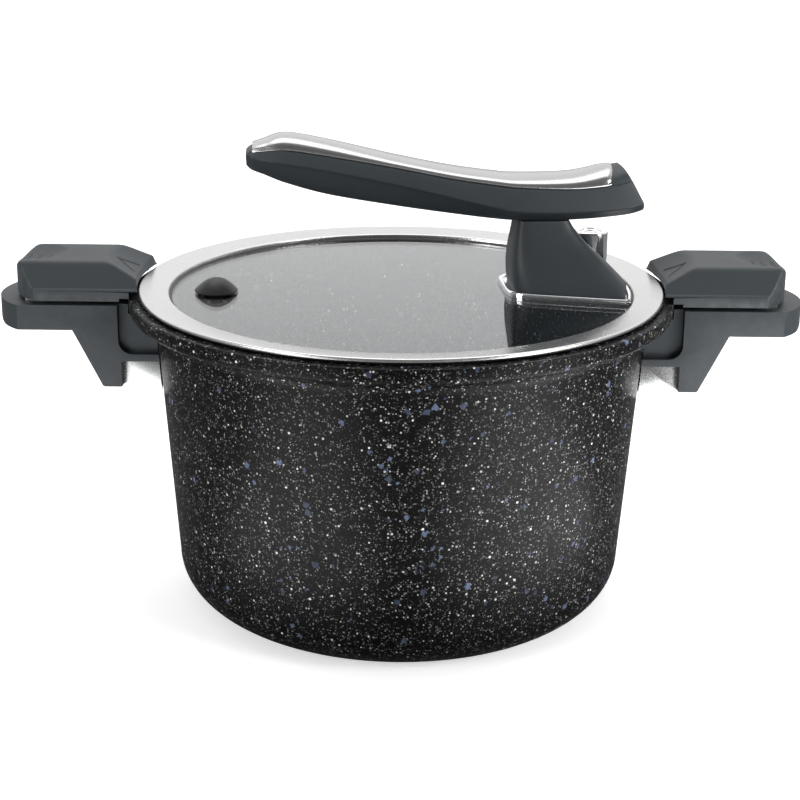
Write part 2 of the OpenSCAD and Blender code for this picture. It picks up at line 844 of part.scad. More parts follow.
function cover_ring(row) =
    let (top = crown(row, 0, cover_inset), low = crown(row, cover_t, cover_inset))
    concat(
        flip(top),
        [for (i = [1 : len(top) - 1]) top[i]],
        [for (i = [len(low) - 1 : -1 : 0]) low[i]],
        [for (i = [1 : len(low) - 1]) [low[i][0], -low[i][1], low[i][2]]]
    );

module lever_body() {
    rows = smooth_rows(lever_stations, lever_steps);
    color("#363d42") difference() {
        loft([for (row = rows) lid_points(lever_ring(row), post_top)]);
        on_lid() for (x = lever_screw_x) translate([x, 0, post_top - past]) rotate([0, 0, well_turn]) {
            cylinder(r = m4_r + fit, h = lever_screw_seat + 2 * past);
            translate([0, 0, past + lever_screw_seat]) cylinder(r = lever_well_r, h = well_len);
        }
    }
}

module lever_cover() {
    rows = smooth_rows(lever_stations, lever_steps);
    color("#c9cccf") loft([
        for (i = [cover_from * lever_steps : cover_to * lever_steps])
            lid_points(cover_ring(rows[i]), post_top)
    ]);
}

module lever_screws() {
    color("#b9bcbf") on_lid() for (x = lever_screw_x)
        translate([x, 0, post_top + lever_screw_seat]) mirror([0, 0, 1])
            pan_screw(m4_r, lever_screw_len, m4_head_r, m4_head_t);
}

// ---------- valve ----------

module at_valve() {
    on_lid() translate([valve_x, valve_y, 0]) children();
}

module valve_tube() {
    color("#dcdee1") at_valve() difference() {
        union() {
            translate([0, 0, post_low]) cylinder(r = valve_r, h = valve_top - valve_edge - post_low);
            translate([0, 0, valve_top - valve_edge])
                cylinder(r1 = valve_r, r2 = valve_r - valve_edge, h = valve_edge);
            translate([0, 0, valve_stem_low]) cylinder(r = valve_stem_r, h = post_low - valve_stem_low);
        }
        translate([0, 0, valve_floor]) cylinder(r = valve_bore, h = valve_h);
        translate([0, 0, valve_floor - valve_cone])
            cylinder(r1 = valve_vent_r, r2 = valve_vent_r + valve_cone, h = valve_cone + eps);
        translate([0, 0, valve_stem_low - past]) cylinder(r = valve_vent_r, h = valve_floor - valve_stem_low);
    }
}

module valve_cap() {
    color("#e8e8ea") at_valve() translate([0, 0, cap_top - cap_t]) difference() {
        cylinder(r = valve_bore - fit, h = cap_t);
        translate([0, 0, -past]) cylinder(r = pin_rod_r + rod_gap, h = cap_t + 2 * past);
    }
}

module valve_pin() {
    tip = valve_vent_r + valve_cone - pin_seat_gap - pin_taper;
    rod_low = pin_disc_z + pin_disc_t;
    cone_low = valve_floor - pin_tip;
    color("#b06a5a") at_valve() {
        translate([0, 0, pin_disc_z]) cylinder(r = pin_disc_r, h = pin_disc_t);
        translate([0, 0, rod_low]) cylinder(r = pin_rod_r, h = cap_top - pin_taper - rod_low);
        translate([0, 0, valve_floor + pin_seat_gap])
            cylinder(r = tip, h = pin_disc_z - valve_floor - pin_seat_gap);
        translate([0, 0, cone_low])
            cylinder(r1 = valve_vent_r + pin_seat_gap, r2 = tip, h = pin_tip + pin_seat_gap);
    }
}

module valve_spring() {
    low = pin_disc_z + pin_disc_t;
    color("#9a9fa3") at_valve() translate([0, 0, low + eps])
        coil((pin_rod_r + valve_bore) / 2, spring_wire, cap_top - cap_t - low - 2 * eps, spring_turns);
}

module valve_nut() {
    color("#c4c6c8") at_valve() translate([0, 0, clamp_low - valve_nut_t]) difference() {
        cylinder(r = valve_nut_r, h = valve_nut_t, $fn = 6);
        translate([0, 0, -past]) cylinder(r = valve_stem_r + fit, h = valve_nut_t + 2 * past);
    }
}

// ---------- vent plug ----------

module vent_plug() {
    low = glass_top + slip;
    wide = low + vent_wide;
    dome = vent_h - slip - vent_wide;
    barb = vent_stem_r + vent_barb;
    catch_z = glass_low - eyelet_t - vent_lift - slip;
    stem_low = catch_z - vent_barb_len;
    color("#191a1c") on_lid() translate([-vent_dist, 0, 0]) rotate_extrude() polygon(concat(
        [[0, stem_low], [vent_stem_r, stem_low], [barb, catch_z - past], [barb, catch_z],
         [vent_stem_r, catch_z], [vent_stem_r, low], [vent_r - vent_under, low], [vent_r, wide]],
        [for (t = [0.85, 0.7, 0.5, 0.3, 0.15]) [vent_r * t, wide + dome * (1 - t * t)]],
        [[0, glass_top + vent_h]]
    ));
}

module vent_eyelet() {
    color("#c9cbcd") on_lid() translate([-vent_dist, 0, 0]) difference() {
        union() {
            translate([0, 0, glass_low - eyelet_t]) cylinder(r = eyelet_r, h = glass_t + eyelet_t);
            translate([0, 0, glass_low - eyelet_t]) cylinder(r = eyelet_r + eyelet_flange, h = eyelet_t);
        }
        translate([0, 0, glass_low - eyelet_t - past])
            cylinder(r = vent_stem_r + slip, h = glass_t + eyelet_t + 2 * past);
    }
}

pot_body();
induction_plate();
side("left") handle_base();  // left_handle_base
side("right") handle_base();  // right_handle_base
side("left") flame_guard();  // left_flame_guard
side("right") flame_guard();  // right_flame_guard
side("left") handle_screws();  // left_handle_screws
side("right") handle_screws();  // right_handle_screws
side("left") guide_plate();  // left_guide_plate
side("right") guide_plate();  // right_guide_plate
side("left") guide_screws();  // left_guide_screws
side("right") guide_screws();  // right_guide_screws
side("left") detent_ball();  // left_detent_ball
side("right") detent_ball();  // right_detent_ball
side("left") detent_spring();  // left_detent_spring
side("right") detent_spring();  // right_detent_spring
side("left") lock_slider();  // left_lock_slider
side("right") lock_slider();  // right_lock_slider
side("left") lock_keeper();  // left_lock_keeper
side("right") lock_keeper();  // right_lock_keeper
side("left") keeper_screw();  // left_keeper_screw
side("right") keeper_screw();  // right_keeper_screw
lid_rim();
glass_panel();
lid_gasket();
post_bezel();
bezel_seal();
handle_post();
clamp_pad();
clamp_plate();
post_screws();
lever_body();
lever_cover();
lever_screws();
valve_tube();
valve_cap();
valve_pin();
valve_spring();
valve_nut();
vent_plug();
vent_eyelet();
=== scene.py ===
import json
import math
from contextlib import contextmanager

import bmesh
import bpy
from mathutils import Matrix, Vector


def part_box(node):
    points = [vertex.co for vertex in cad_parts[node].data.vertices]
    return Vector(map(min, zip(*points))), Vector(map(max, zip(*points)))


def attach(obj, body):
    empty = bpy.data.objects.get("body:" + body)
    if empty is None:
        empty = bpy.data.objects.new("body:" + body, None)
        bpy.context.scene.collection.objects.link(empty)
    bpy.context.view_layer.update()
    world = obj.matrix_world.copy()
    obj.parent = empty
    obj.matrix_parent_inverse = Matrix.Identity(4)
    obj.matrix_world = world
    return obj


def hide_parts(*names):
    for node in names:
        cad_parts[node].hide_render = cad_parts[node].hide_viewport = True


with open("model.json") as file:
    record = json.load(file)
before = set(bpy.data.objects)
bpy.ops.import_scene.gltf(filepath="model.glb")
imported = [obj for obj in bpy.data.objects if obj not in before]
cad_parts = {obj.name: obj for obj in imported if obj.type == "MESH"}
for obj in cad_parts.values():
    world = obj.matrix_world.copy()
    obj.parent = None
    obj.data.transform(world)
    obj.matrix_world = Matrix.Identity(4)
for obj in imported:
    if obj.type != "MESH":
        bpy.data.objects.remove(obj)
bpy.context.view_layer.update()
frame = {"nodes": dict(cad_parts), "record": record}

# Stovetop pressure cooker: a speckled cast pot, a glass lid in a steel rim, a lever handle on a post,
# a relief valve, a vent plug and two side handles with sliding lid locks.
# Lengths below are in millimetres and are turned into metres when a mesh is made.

MM = 0.001
ROUND_STEPS = 256


def span(node):
    """Lowest and highest corner of a CAD node, in millimetres."""
    low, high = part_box(node)
    return Vector(low) / MM, Vector(high) / MM


# ---------------------------------------------------------------- sizes read from the frame

rim_high = span("lid_rim")[1]
pot_high = span("pot_body")[1]
plate_high = span("induction_plate")[1]
gasket_low = span("lid_gasket")[0]
glass_low, glass_high = span("glass_panel")
tube_low, tube_high = span("valve_tube")
cap_low, cap_high = span("valve_cap")
plug_low, plug_high = span("vent_plug")
post_low, post_high = span("handle_post")
lock_high = span("right_lock_slider")[1]
guide_low, guide_high = span("right_guide_plate")

RIM_R = rim_high.x
RIM_TOP = rim_high.z
RIM_INNER = RIM_R - 14.3
RIM_SHEET = 0.9
GLASS_TOP = glass_high.z
GLASS_LOW = glass_low.z
RIM_CREST = GLASS_TOP + 2.4  # the rim's top surface at its inner edge
GLASS_EDGE = glass_high.x + 0.05
COLLAR_R = pot_high.x - 0.5
POT_R = COLLAR_R - 12.7
POT_WALL = 4.4
POT_TOP = rim_high.z - 3.0
POT_BASE = 0.9
PLATE_R = plate_high.x
GASKET_INNER = POT_R - POT_WALL - 0.9
BEZEL_ARC = RIM_INNER - 0.8  # the bezel and the post keep inside this circle
BEZEL_LIP = 2.4
POST_TOP = post_high.z
LOCK_LOW = guide_high.z + 0.4
LID_TURN = math.radians(5.7)


# ---------------------------------------------------------------- mesh helpers

def arc(cx, cy, radius, start, end, steps):
    """Points of an arc, angles in degrees."""
    points = []
    for i in range(steps + 1):
        a = math.radians(start + (end - start) * i / steps)
        points.append((cx + radius * math.cos(a), cy + radius * math.sin(a)))
    return points


def new_object(name, mesh):
    obj = bpy.data.objects.new(name, mesh)
    bpy.context.scene.collection.objects.link(obj)
    return obj


@contextmanager
def editing(mesh):
    """The mesh opened for editing and written back afterwards."""
    bm = bmesh.new()
    bm.from_mesh(mesh)
    yield bm
    bm.to_mesh(mesh)
    bm.free()


def mesh_object(name, vertices, faces, sharp=40.0):
    """A smooth-shaded object from millimetre vertices; edges sharper than the angle stay crisp."""
    mesh = bpy.data.meshes.new(name)
    mesh.from_pydata([(x * MM, y * MM, z * MM) for x, y, z in vertices], [], faces)
    with editing(mesh) as bm:
        bmesh.ops.remove_doubles(bm, verts=bm.verts, dist=1e-7)
        bmesh.ops.recalc_face_normals(bm, faces=bm.faces)
    mesh.validate()
    smooth(mesh, sharp)
    return new_object(name, mesh)


def smooth(mesh, sharp):
    mesh.shade_smooth()
    mesh.set_sharp_from_angle(angle=math.radians(sharp))


def lathe(name, profile, centre=(0.0, 0.0), steps=ROUND_STEPS, sharp=40.0):
    """Turns a closed outline of (radius, height) points about a vertical axis."""
    vertices, faces = [], []
    count = len(profile)
    for s in range(steps):
        a = 2 * math.pi * s / steps
        for radius, z in profile:
            vertices.append((centre[0] + radius * math.cos(a), centre[1] + radius * math.sin(a), z))
    for s in range(steps):
        t = (s + 1) % steps
        for i in range(count):
            j = (i + 1) % count
            if profile[i][0] < 1e-6 and profile[j][0] < 1e-6:
                continue
            faces.append((s * count + i, t * count + i, t * count + j, s * count + j))
    return mesh_object(name, vertices, faces, sharp)


def loft(name, rings, sharp=40.0):
    """Closed body through rings that all have the same number of points."""
    count = len(rings[0])
    vertices = [p for ring in rings for p in ring]
    faces = []
    for r in range(len(rings) - 1):
        for i in range(count):
            j = (i + 1) % count
            faces.append((r * count + i, r * count + j, (r + 1) * count + j, (r + 1) * count + i))
    faces.append(tuple(reversed(range(count))))
    faces.append(tuple(range((len(rings) - 1) * count, len(rings) * count)))
    return mesh_object(name, vertices, faces, sharp)


def applied(obj, sharp=40.0):
    """Turns an object's modifiers into a plain mesh."""
    bpy.context.view_layer.update()
    graph = bpy.context.evaluated_depsgraph_get()
    mesh = bpy.data.meshes.new_from_object(obj.evaluated_get(graph))
    obj.modifiers.clear()
    obj.data = mesh
    smooth(mesh, sharp)
    return obj


def rounded_copy(node, width, name=None, segments=3, sharp=40.0):
    """Copy of a CAD node with its faces joined up and its edges rounded."""
    mesh = frame["nodes"][node].data.copy()
    with editing(mesh) as bm:
        bmesh.ops.remove_doubles(bm, verts=bm.verts, dist=2e-6)
        bmesh.ops.dissolve_limit(
            bm, angle_limit=math.radians(0.6), verts=bm.verts, edges=bm.edges, delimit=set()
        )
    obj = new_object(name or node + "_finished", mesh)
    bevel = obj.modifiers.new("round", "BEVEL")
    bevel.width = width * MM
    bevel.segments = segments
    bevel.limit_method = "ANGLE"
    bevel.angle_limit = math.radians(28)
    bevel.use_clamp_overlap = True
    return applied(obj, sharp)


def mirrored(obj, name):
    """Mirror image of a piece across the YZ plane."""
    mesh = obj.data.copy()
    mesh.transform(Matrix.Scale(-1, 4, (1, 0, 0)))
    mesh.flip_normals()
    return new_object(name, mesh)


def turn(points, angle=LID_TURN):
    """Points turned about the pot's axis, as the resting lid is."""
    c, s = math.cos(angle), math.sin(angle)
    return [(p[0] * c - p[1] * s, p[0] * s + p[1] * c, p[2]) for p in points]


def blend_rows(rows, steps):
    """Smooth rows between the rows of a table."""
    out = []
    last = len(rows) - 1
    for i in range(last):
        p0, p1, p2, p3 = rows[max(i - 1, 0)], rows[i], rows[i + 1], rows[min(i + 2, last)]
        for k in range(steps):
            t = k / steps
            out.append([
                0.5 * (2 * b + (c - a) * t + (2 * a - 5 * b + 4 * c - d) * t * t
                       + (3 * b - a - 3 * c + d) * t ** 3)
                for a, b, c, d in zip(p0, p1, p2, p3)
            ])
    out.append(list(rows[last]))
    return out


def softmin(a, b, k):
    """Smaller of two heights, with a rounded crease of about k."""
    h = max(0.0, min(1.0, 0.5 + 0.5 * (b - a) / k))
    return b * (1 - h) + a * h - k * h * (1 - h)


# ---------------------------------------------------------------- shader helpers

def node_at(tree, kind, x, y, **values):
    """New node; each value is one of its properties, or a number or a socket for one of its inputs."""
    node = tree.nodes.new(kind)
    node.location = (x, y)
    for key, value in values.items():
        if isinstance(value, bpy.types.NodeSocket):
            tree.links.new(value, node.inputs[key])
        elif hasattr(node, key):
            setattr(node, key, value)
        else:
            node.inputs[key].default_value = value
    return node


def new_group(name, inputs, outputs):
    """Node group with a vector input, number inputs (name, default) and number outputs."""
    group = bpy.data.node_groups.new(name, "ShaderNodeTree")
    vector = group.interface.new_socket("Vector", in_out="INPUT", socket_type="NodeSocketVector")
    vector.hide_value = True
    for label, default in inputs:
        socket = group.interface.new_socket(label, in_out="INPUT", socket_type="NodeSocketFloat")
        socket.default_value = default
    for label in outputs:
        group.interface.new_socket(label, in_out="OUTPUT", socket_type="NodeSocketFloat")
    return group, node_at(group, "NodeGroupInput", -1200, 0), node_at(group, "NodeGroupOutput", 900, 0)


def ramp(tree, x, y, factor, stops):
    """Output of a colour ramp of (place, grey or colour) stops."""
    node = node_at(tree, "ShaderNodeValToRGB", x, y, Fac=factor)
    elements = node.color_ramp.elements
    while len(elements) < len(stops):
        elements.new(0.5)
    for element, (place, value) in zip(elements, stops):
        element.position = place
        shade = value if isinstance(value, tuple) else (value, value, value)
        element.color = (*shade, 1.0)
    return node.outputs["Color"]


def math_node(tree, operation, x, y, first, second):
    """Math node whose operands are sockets or numbers."""
    node = node_at(tree, "ShaderNodeMath", x, y, operation=operation)
    for index, value in enumerate((first, second)):
        if isinstance(value, (int, float)):
            node.inputs[index].default_value = value
        else:
            tree.links.new(value, node.inputs[index])
    return node.outputs[0]


def grains_group():
    """Round grains of random size and brightness, cut from a cellular pattern."""
    inputs = [("Scale", 1000.0), ("Share", 0.5), ("Size", 0.4)]
    group, start, end = new_group("grains", inputs, ["Mask", "Tone"])
    cells = node_at(group, "ShaderNodeTexVoronoi", -900, 100, feature="F1",
                    Vector=start.outputs["Vector"], Scale=start.outputs["Scale"])
    split = node_at(group, "ShaderNodeSeparateColor", -650, -50, Color=cells.outputs["Color"])
    chosen = math_node(group, "LESS_THAN", -400, 150, split.outputs["Red"], start.outputs["Share"])
    reach = math_node(group, "MULTIPLY", -400, -50, split.outputs["Green"], start.outputs["Size"])
    gap = math_node(group, "SUBTRACT", -200, 0, reach, cells.outputs["Distance"])
    sharpness = 14.0
    edge = math_node(group, "MULTIPLY", -20, 0, gap, sharpness)
    clipped = node_at(group, "ShaderNodeClamp", 150, 0, Value=edge).outputs[0]
    group.links.new(math_node(group, "MULTIPLY", 350, 50, clipped, chosen), end.inputs["Mask"])
    group.links.new(split.outputs["Blue"], end.inputs["Tone"])
    return group


def vary(group, end, pattern, amount, height):
    """Ends a group: a shade about 1 and an offset about 0 from a centred pattern, and its height."""
    offset = math_node(group, "MULTIPLY", 100, 50, pattern, amount)
    group.links.new(math_node(group, "ADD", 300, 150, offset, 1.0), end.inputs["Shade"])
    group.links.new(offset, end.inputs["Offset"])
    group.links.new(height, end.inputs["Height"])
    return group


def patina_group():
    """Slow mottling and fine grain that vary a finish, and a height for its bump."""
    inputs = [("Broad", 18.0), ("Fine", 900.0), ("Spread", 0.1)]
    group, start, end = new_group("patina", inputs, ["Shade", "Offset", "Height"])
    place = start.outputs["Vector"]
    broad = node_at(group, "ShaderNodeTexNoise", -800, 200, Detail=3.0, Roughness=0.55,
                    Vector=place, Scale=start.outputs["Broad"])
    fine = node_at(group, "ShaderNodeTexNoise", -800, -100, Detail=4.0, Roughness=0.6,
                   Vector=place, Scale=start.outputs["Fine"])
    mixed = math_node(group, "ADD", -500, 100, broad.outputs["Fac"], fine.outputs["Fac"])
    centred = math_node(group, "SUBTRACT", -300, 100, mixed, 1.0)
    return vary(group, end, centred, start.outputs["Spread"], fine.outputs["Fac"])


def brushed_group():
    """Fine parallel lines: noise stretched along the pattern's first axis."""
    inputs = [("Lines", 2600.0), ("Along", 30.0), ("Depth", 0.2)]
    group, start, end = new_group("brushed", inputs, ["Shade", "Offset", "Height"])
    split = node_at(group, "ShaderNodeSeparateXYZ", -1000, 0, Vector=start.outputs["Vector"])
    stretched = {
        axis: math_node(group, "MULTIPLY", -800, y, split.outputs[axis], start.outputs[scale])
        for axis, y, scale in (("X", 150, "Along"), ("Y", 0, "Lines"), ("Z", -150, "Lines"))
    }
    joined = node_at(group, "ShaderNodeCombineXYZ", -600, 0, **stretched)
    lines = node_at(group, "ShaderNodeTexNoise", -400, 0, Scale=1.0, Detail=3.0, Roughness=0.7,
                    Vector=joined.outputs[0])
    centred = math_node(group, "SUBTRACT", -200, 50, lines.outputs["Fac"], 0.5)
    return vary(group, end, centred, start.outputs["Depth"], lines.outputs["Fac"])


def wear_group():
    """Mask of convex edges, broken up by noise, where a finish has been rubbed."""
    group, start, end = new_group("edge_wear", [("Amount", 0.5), ("Breakup", 300.0)], ["Mask"])
    shape = node_at(group, "ShaderNodeNewGeometry", -900, 100)
    convex = ramp(group, -650, 100, shape.outputs["Pointiness"], [(0.5, 0.0), (0.58, 1.0)])
    noise = node_at(group, "ShaderNodeTexNoise", -650, -150, Detail=3.0,
                    Vector=start.outputs["Vector"], Scale=start.outputs["Breakup"])
    rubbed = ramp(group, -400, -150, noise.outputs["Fac"], [(0.4, 0.0), (0.65, 1.0)])
    both = math_node(group, "MULTIPLY", -100, 0, convex, rubbed)
    group.links.new(math_node(group, "MULTIPLY", 200, 0, both, start.outputs["Amount"]), end.inputs["Mask"])
    return group


GRAINS = grains_group()
PATINA = patina_group()
BRUSHED = brushed_group()
WEAR = wear_group()


class Finish:
    """A Principled material being put together."""

    def __init__(self, name, **constants):
        self.material = bpy.data.materials.new(name)
        self.material.use_nodes = True
        self.tree = self.material.node_tree
        self.shader = self.tree.nodes["Principled BSDF"]
        self.place = node_at(self.tree, "ShaderNodeTexCoord", -1600, 0).outputs["Object"]
        for key, value in constants.items():
            self.shader.inputs[key.replace("_", " ")].default_value = value

    def link(self, a, b):
        self.tree.links.new(a, b)

    def group(self, group, x=-1200, y=0, vector=None, **values):
        node = node_at(self.tree, "ShaderNodeGroup", x, y)
        node.node_tree = group
        self.link(vector or self.place, node.inputs["Vector"])
        for key, value in values.items():
            node.inputs[key].default_value = value
        return node

    def mapped(self, x=-1400, y=-300, location=(0, 0, 0), rotation=(0, 0, 0)):
        """The pattern's coordinates, shifted and turned."""
        node = node_at(self.tree, "ShaderNodeMapping", x, y, Vector=self.place, Rotation=rotation)
        node.inputs["Location"].default_value = location
        return node.outputs[0]

    def mix(self, mask, low, high, x=-500, y=300):
        """Colour from low to high by a mask; each is a colour or a socket."""
        node = node_at(self.tree, "ShaderNodeMix", x, y, data_type="RGBA")
        self.link(mask, node.inputs[0])
        for index, value in ((6, low), (7, high)):
            if isinstance(value, tuple):
                node.inputs[index].default_value = (*value, 1.0)
            else:
                self.link(value, node.inputs[index])
        return node.outputs[2]

    def shaded(self, colour, shade, x=-300, y=300):
        """A colour multiplied by a grey value."""
        node = node_at(self.tree, "ShaderNodeMix", x, y, data_type="RGBA", blend_type="MULTIPLY")
        node.inputs[0].default_value = 1.0
        if isinstance(colour, tuple):
            node.inputs[6].default_value = (*colour, 1.0)
        else:
            self.link(colour, node.inputs[6])
        self.link(shade, node.inputs[7])
        return node.outputs[2]

    def colour(self, socket):
        self.link(socket, self.shader.inputs["Base Color"])

    def roughness(self, base, offset, gain=1.0):
        scaled = math_node(self.tree, "MULTIPLY", -500, -100, offset, gain)
        self.link(math_node(self.tree, "ADD", -300, -100, scaled, base), self.shader.inputs["Roughness"])

    def aged(self, colour, rough, broad, fine, spread, gain=1.0):
        """Varies a colour and a roughness by a patina and gives the patina's height."""
        worn = self.group(PATINA, -1200, 200, Broad=broad, Fine=fine, Spread=spread)
        self.colour(self.shaded(colour, worn.outputs["Shade"]))
        self.roughness(rough, worn.outputs["Offset"], gain)
        return worn.outputs["Height"]

    def bump(self, height, distance, strength=1.0):
        node = node_at(self.tree, "ShaderNodeBump", -300, -400, Distance=distance * MM, Strength=strength,
                       Height=height)
        self.link(node.outputs[0], self.shader.inputs["Normal"])


# ---------------------------------------------------------------- finishes

def speckled_coating():
    """Black coating with fine dust, grains, white chips, bluish flakes in clusters and dark pits."""
    f = Finish("speckled_coating", Specular_IOR_Level=0.12)
    grain_place = f.mapped(location=(0.07, 0.11, 0.05))
    chip_place = f.mapped(location=(0.19, 0.03, 0.13))
    pit_place = f.mapped(location=(0.31, 0.17, 0.23))
    warp = node_at(f.tree, "ShaderNodeTexNoise", -1500, -200, Scale=900.0, Detail=2.0, Vector=f.place)
    ragged = node_at(f.tree, "ShaderNodeVectorMath", -1380, -350, operation="MULTIPLY_ADD")
    f.link(warp.outputs["Color"], ragged.inputs[0])
    ragged.inputs[1].default_value = (0.0024, 0.0024, 0.0024)
    f.link(f.place, ragged.inputs[2])
    dust = f.group(GRAINS, -1200, 700, Scale=1400.0, Share=0.8, Size=0.62)
    grain = f.group(GRAINS, -1200, 450, grain_place, Scale=1000.0, Share=0.62, Size=0.5)
    chip = f.group(GRAINS, -1200, 200, chip_place, Scale=620.0, Share=0.12, Size=0.42)
    flakes = f.group(GRAINS, -1200, 0, ragged.outputs[0], Scale=260.0, Share=0.3, Size=0.5)
    pits = f.group(GRAINS, -1200, -250, pit_place, Scale=270.0, Share=0.22, Size=0.55)
    cluster = node_at(f.tree, "ShaderNodeTexNoise", -1200, -700, Scale=45.0, Detail=2.0, Vector=f.place)
    grouped = ramp(f.tree, -1000, -700, cluster.outputs["Fac"], [(0.46, 0.0), (0.58, 1.0)])
    flaked = math_node(f.tree, "MULTIPLY", -800, 0, flakes.outputs["Mask"], grouped)
    layer = (0.0016, 0.0016, 0.0014)
    for grains, mask, y, stops in (
        (dust, dust.outputs["Mask"], 650, [(0.0, 0.003), (0.6, 0.02), (1.0, 0.2)]),
        (grain, grain.outputs["Mask"], 400, [(0.0, 0.012), (0.5, 0.06), (0.8, 0.2), (1.0, 0.55)]),
        (chip, chip.outputs["Mask"], 150, [(0.0, 0.12), (1.0, 0.8)]),
        (flakes, flaked, -50, [(0.0, (0.02, 0.026, 0.04)), (1.0, (0.12, 0.15, 0.24))]),
    ):
        layer = f.mix(mask, layer, ramp(f.tree, -1000, y, grains.outputs["Tone"], stops), -600, y)
    layer = f.mix(pits.outputs["Mask"], layer, (0.001, 0.001, 0.001), -400, 200)
    f.bump(f.aged(layer, 0.4, 14.0, 520.0, 0.16), 0.05, 0.6)
    return f.material


def moulded_plastic():
    f = Finish("moulded_plastic", Specular_IOR_Level=0.42)
    patina = f.group(PATINA, -1200, 200, Broad=28.0, Fine=1500.0, Spread=0.22)
    wear = f.group(WEAR, -1200, -50, Amount=0.35, Breakup=260.0)
    base = f.shaded((0.03, 0.037, 0.042), patina.outputs["Shade"], -700, 300)
    f.colour(f.mix(wear.outputs["Mask"], base, (0.09, 0.1, 0.105)))
    f.roughness(0.5, patina.outputs["Offset"], 0.7)
    f.bump(patina.outputs["Height"], 0.03, 0.7)
    return f.material


def axis_distance(f):
    """Distance of the surface from the pot's axis, and its separate coordinates."""
    split = node_at(f.tree, "ShaderNodeSeparateXYZ", -1500, -300, Vector=f.place)
    squares = [math_node(f.tree, "MULTIPLY", -1400, y, split.outputs[axis], split.outputs[axis])
               for axis, y in (("X", -250), ("Y", -350))]
    total = math_node(f.tree, "ADD", -1300, -300, *squares)
    return math_node(f.tree, "POWER", -1200, -300, total, 0.5), split


def round_the_axis(f):
    """Coordinates that make brushed lines run round the pot's axis."""
    radius, split = axis_distance(f)
    return node_at(f.tree, "ShaderNodeCombineXYZ", -1050, -300, Y=radius, Z=split.outputs["Z"]).outputs[0]


def along_the_lever(f):
    """Coordinates that make brushed lines run along the lever."""
    return f.mapped(rotation=(0, 0, -LID_TURN))


def brushed_finish(name, colour, rough, lines, patina, bump, place=None):
    """Brushed steel: lines (count, along, depth), patina (broad, fine, spread), bump (depth, strength)."""
    f = Finish(name, Metallic=1.0)
    vector = place(f) if place else None
    drawn = f.group(BRUSHED, -850, -250, vector, **dict(zip(("Lines", "Along", "Depth"), lines)))
    worn = f.group(PATINA, -1200, 300, **dict(zip(("Broad", "Fine", "Spread"), patina)))
    shade = math_node(f.tree, "MULTIPLY", -600, 100, drawn.outputs["Shade"], worn.outputs["Shade"])
    f.colour(f.shaded(colour, shade))
    f.roughness(rough, worn.outputs["Offset"])
    f.bump(drawn.outputs["Height"], *bump)
    return f.material


def plain_finish(name, colour, rough, patina, bump, gain=1.0, **constants):
    """Even colour: patina is (broad, fine, spread), bump (depth, strength), gain that of the roughness."""
    f = Finish(name, **constants)
    f.bump(f.aged(colour, rough, *patina, gain), *bump)
    return f.material


def turned_steel():
    f = Finish("turned_steel", Metallic=1.0)
    grooves = 5200.0
    phase = math_node(f.tree, "MULTIPLY", -1050, -300, axis_distance(f)[0], grooves)
    wave = math_node(f.tree, "SINE", -900, -300, phase, 0.0)
    f.aged((0.6, 0.61, 0.62), 0.36, 30.0, 900.0, 0.2)
    f.bump(wave, 0.03, 0.6)
    return f.material


def sheet_steel(name, colour, rough, broad):
    return brushed_finish(name, colour, rough, (2400.0, 60.0, 0.18), (broad, 800.0, 0.14), (0.008, 0.5))


FINISHES = {
    "pot": speckled_coating(),
    "handle": moulded_plastic(),
    "rim": brushed_finish("rim_steel", (0.66, 0.655, 0.655), 0.27, (2600.0, 1.0, 0.08), (22.0, 90.0, 0.06),
                          (0.002, 0.3), round_the_axis),
    "cover": brushed_finish("cover_steel", (0.47, 0.47, 0.475), 0.24, (3600.0, 22.0, 0.16),
                            (24.0, 500.0, 0.08), (0.004, 0.5), along_the_lever),
    "steel": sheet_steel("sheet_steel", (0.66, 0.665, 0.67), 0.25, 60.0),
    "screw": sheet_steel("screw_steel", (0.56, 0.565, 0.57), 0.32, 200.0),
    "spring": sheet_steel("spring_steel", (0.42, 0.43, 0.44), 0.35, 200.0),
    "induction": turned_steel(),
    "chrome": plain_finish("polished_chrome", (0.86, 0.87, 0.885), 0.09, (40.0, 300.0, 0.06), (0.01, 0.15),
                           Metallic=1.0),
    "glass": plain_finish("clear_glass", (0.86, 0.9, 0.92), 0.02, (20.0, 260.0, 0.03), (0.002, 0.1),
                          Transmission_Weight=1.0, IOR=1.5),
    "silicone": plain_finish("silicone_rubber", (0.011, 0.011, 0.012), 0.38, (50.0, 1300.0, 0.3),
                             (0.02, 0.5), gain=0.6, Specular_IOR_Level=0.4),
    "pin": plain_finish("copper_pin", (0.74, 0.5, 0.42), 0.25, (120.0, 1500.0, 0.25), (0.01, 0.4),
                        Metallic=1.0),
}
SLOT_OF = {row["node"]: row["material_slot"] for row in frame["record"]["subparts"]}


def paint(obj, slot):
    obj.data.materials.clear()
    obj.data.materials.append(FINISHES[slot])


def settle(obj, node, body):
    """Gives a finished piece its finish and its body, and hides the CAD node it stands for."""
    paint(obj, SLOT_OF[node])
    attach(obj, body)
    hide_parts(node)
    return obj


for name, obj in frame["nodes"].items():
    paint(obj, SLOT_OF[name])


# ---------------------------------------------------------------- pot

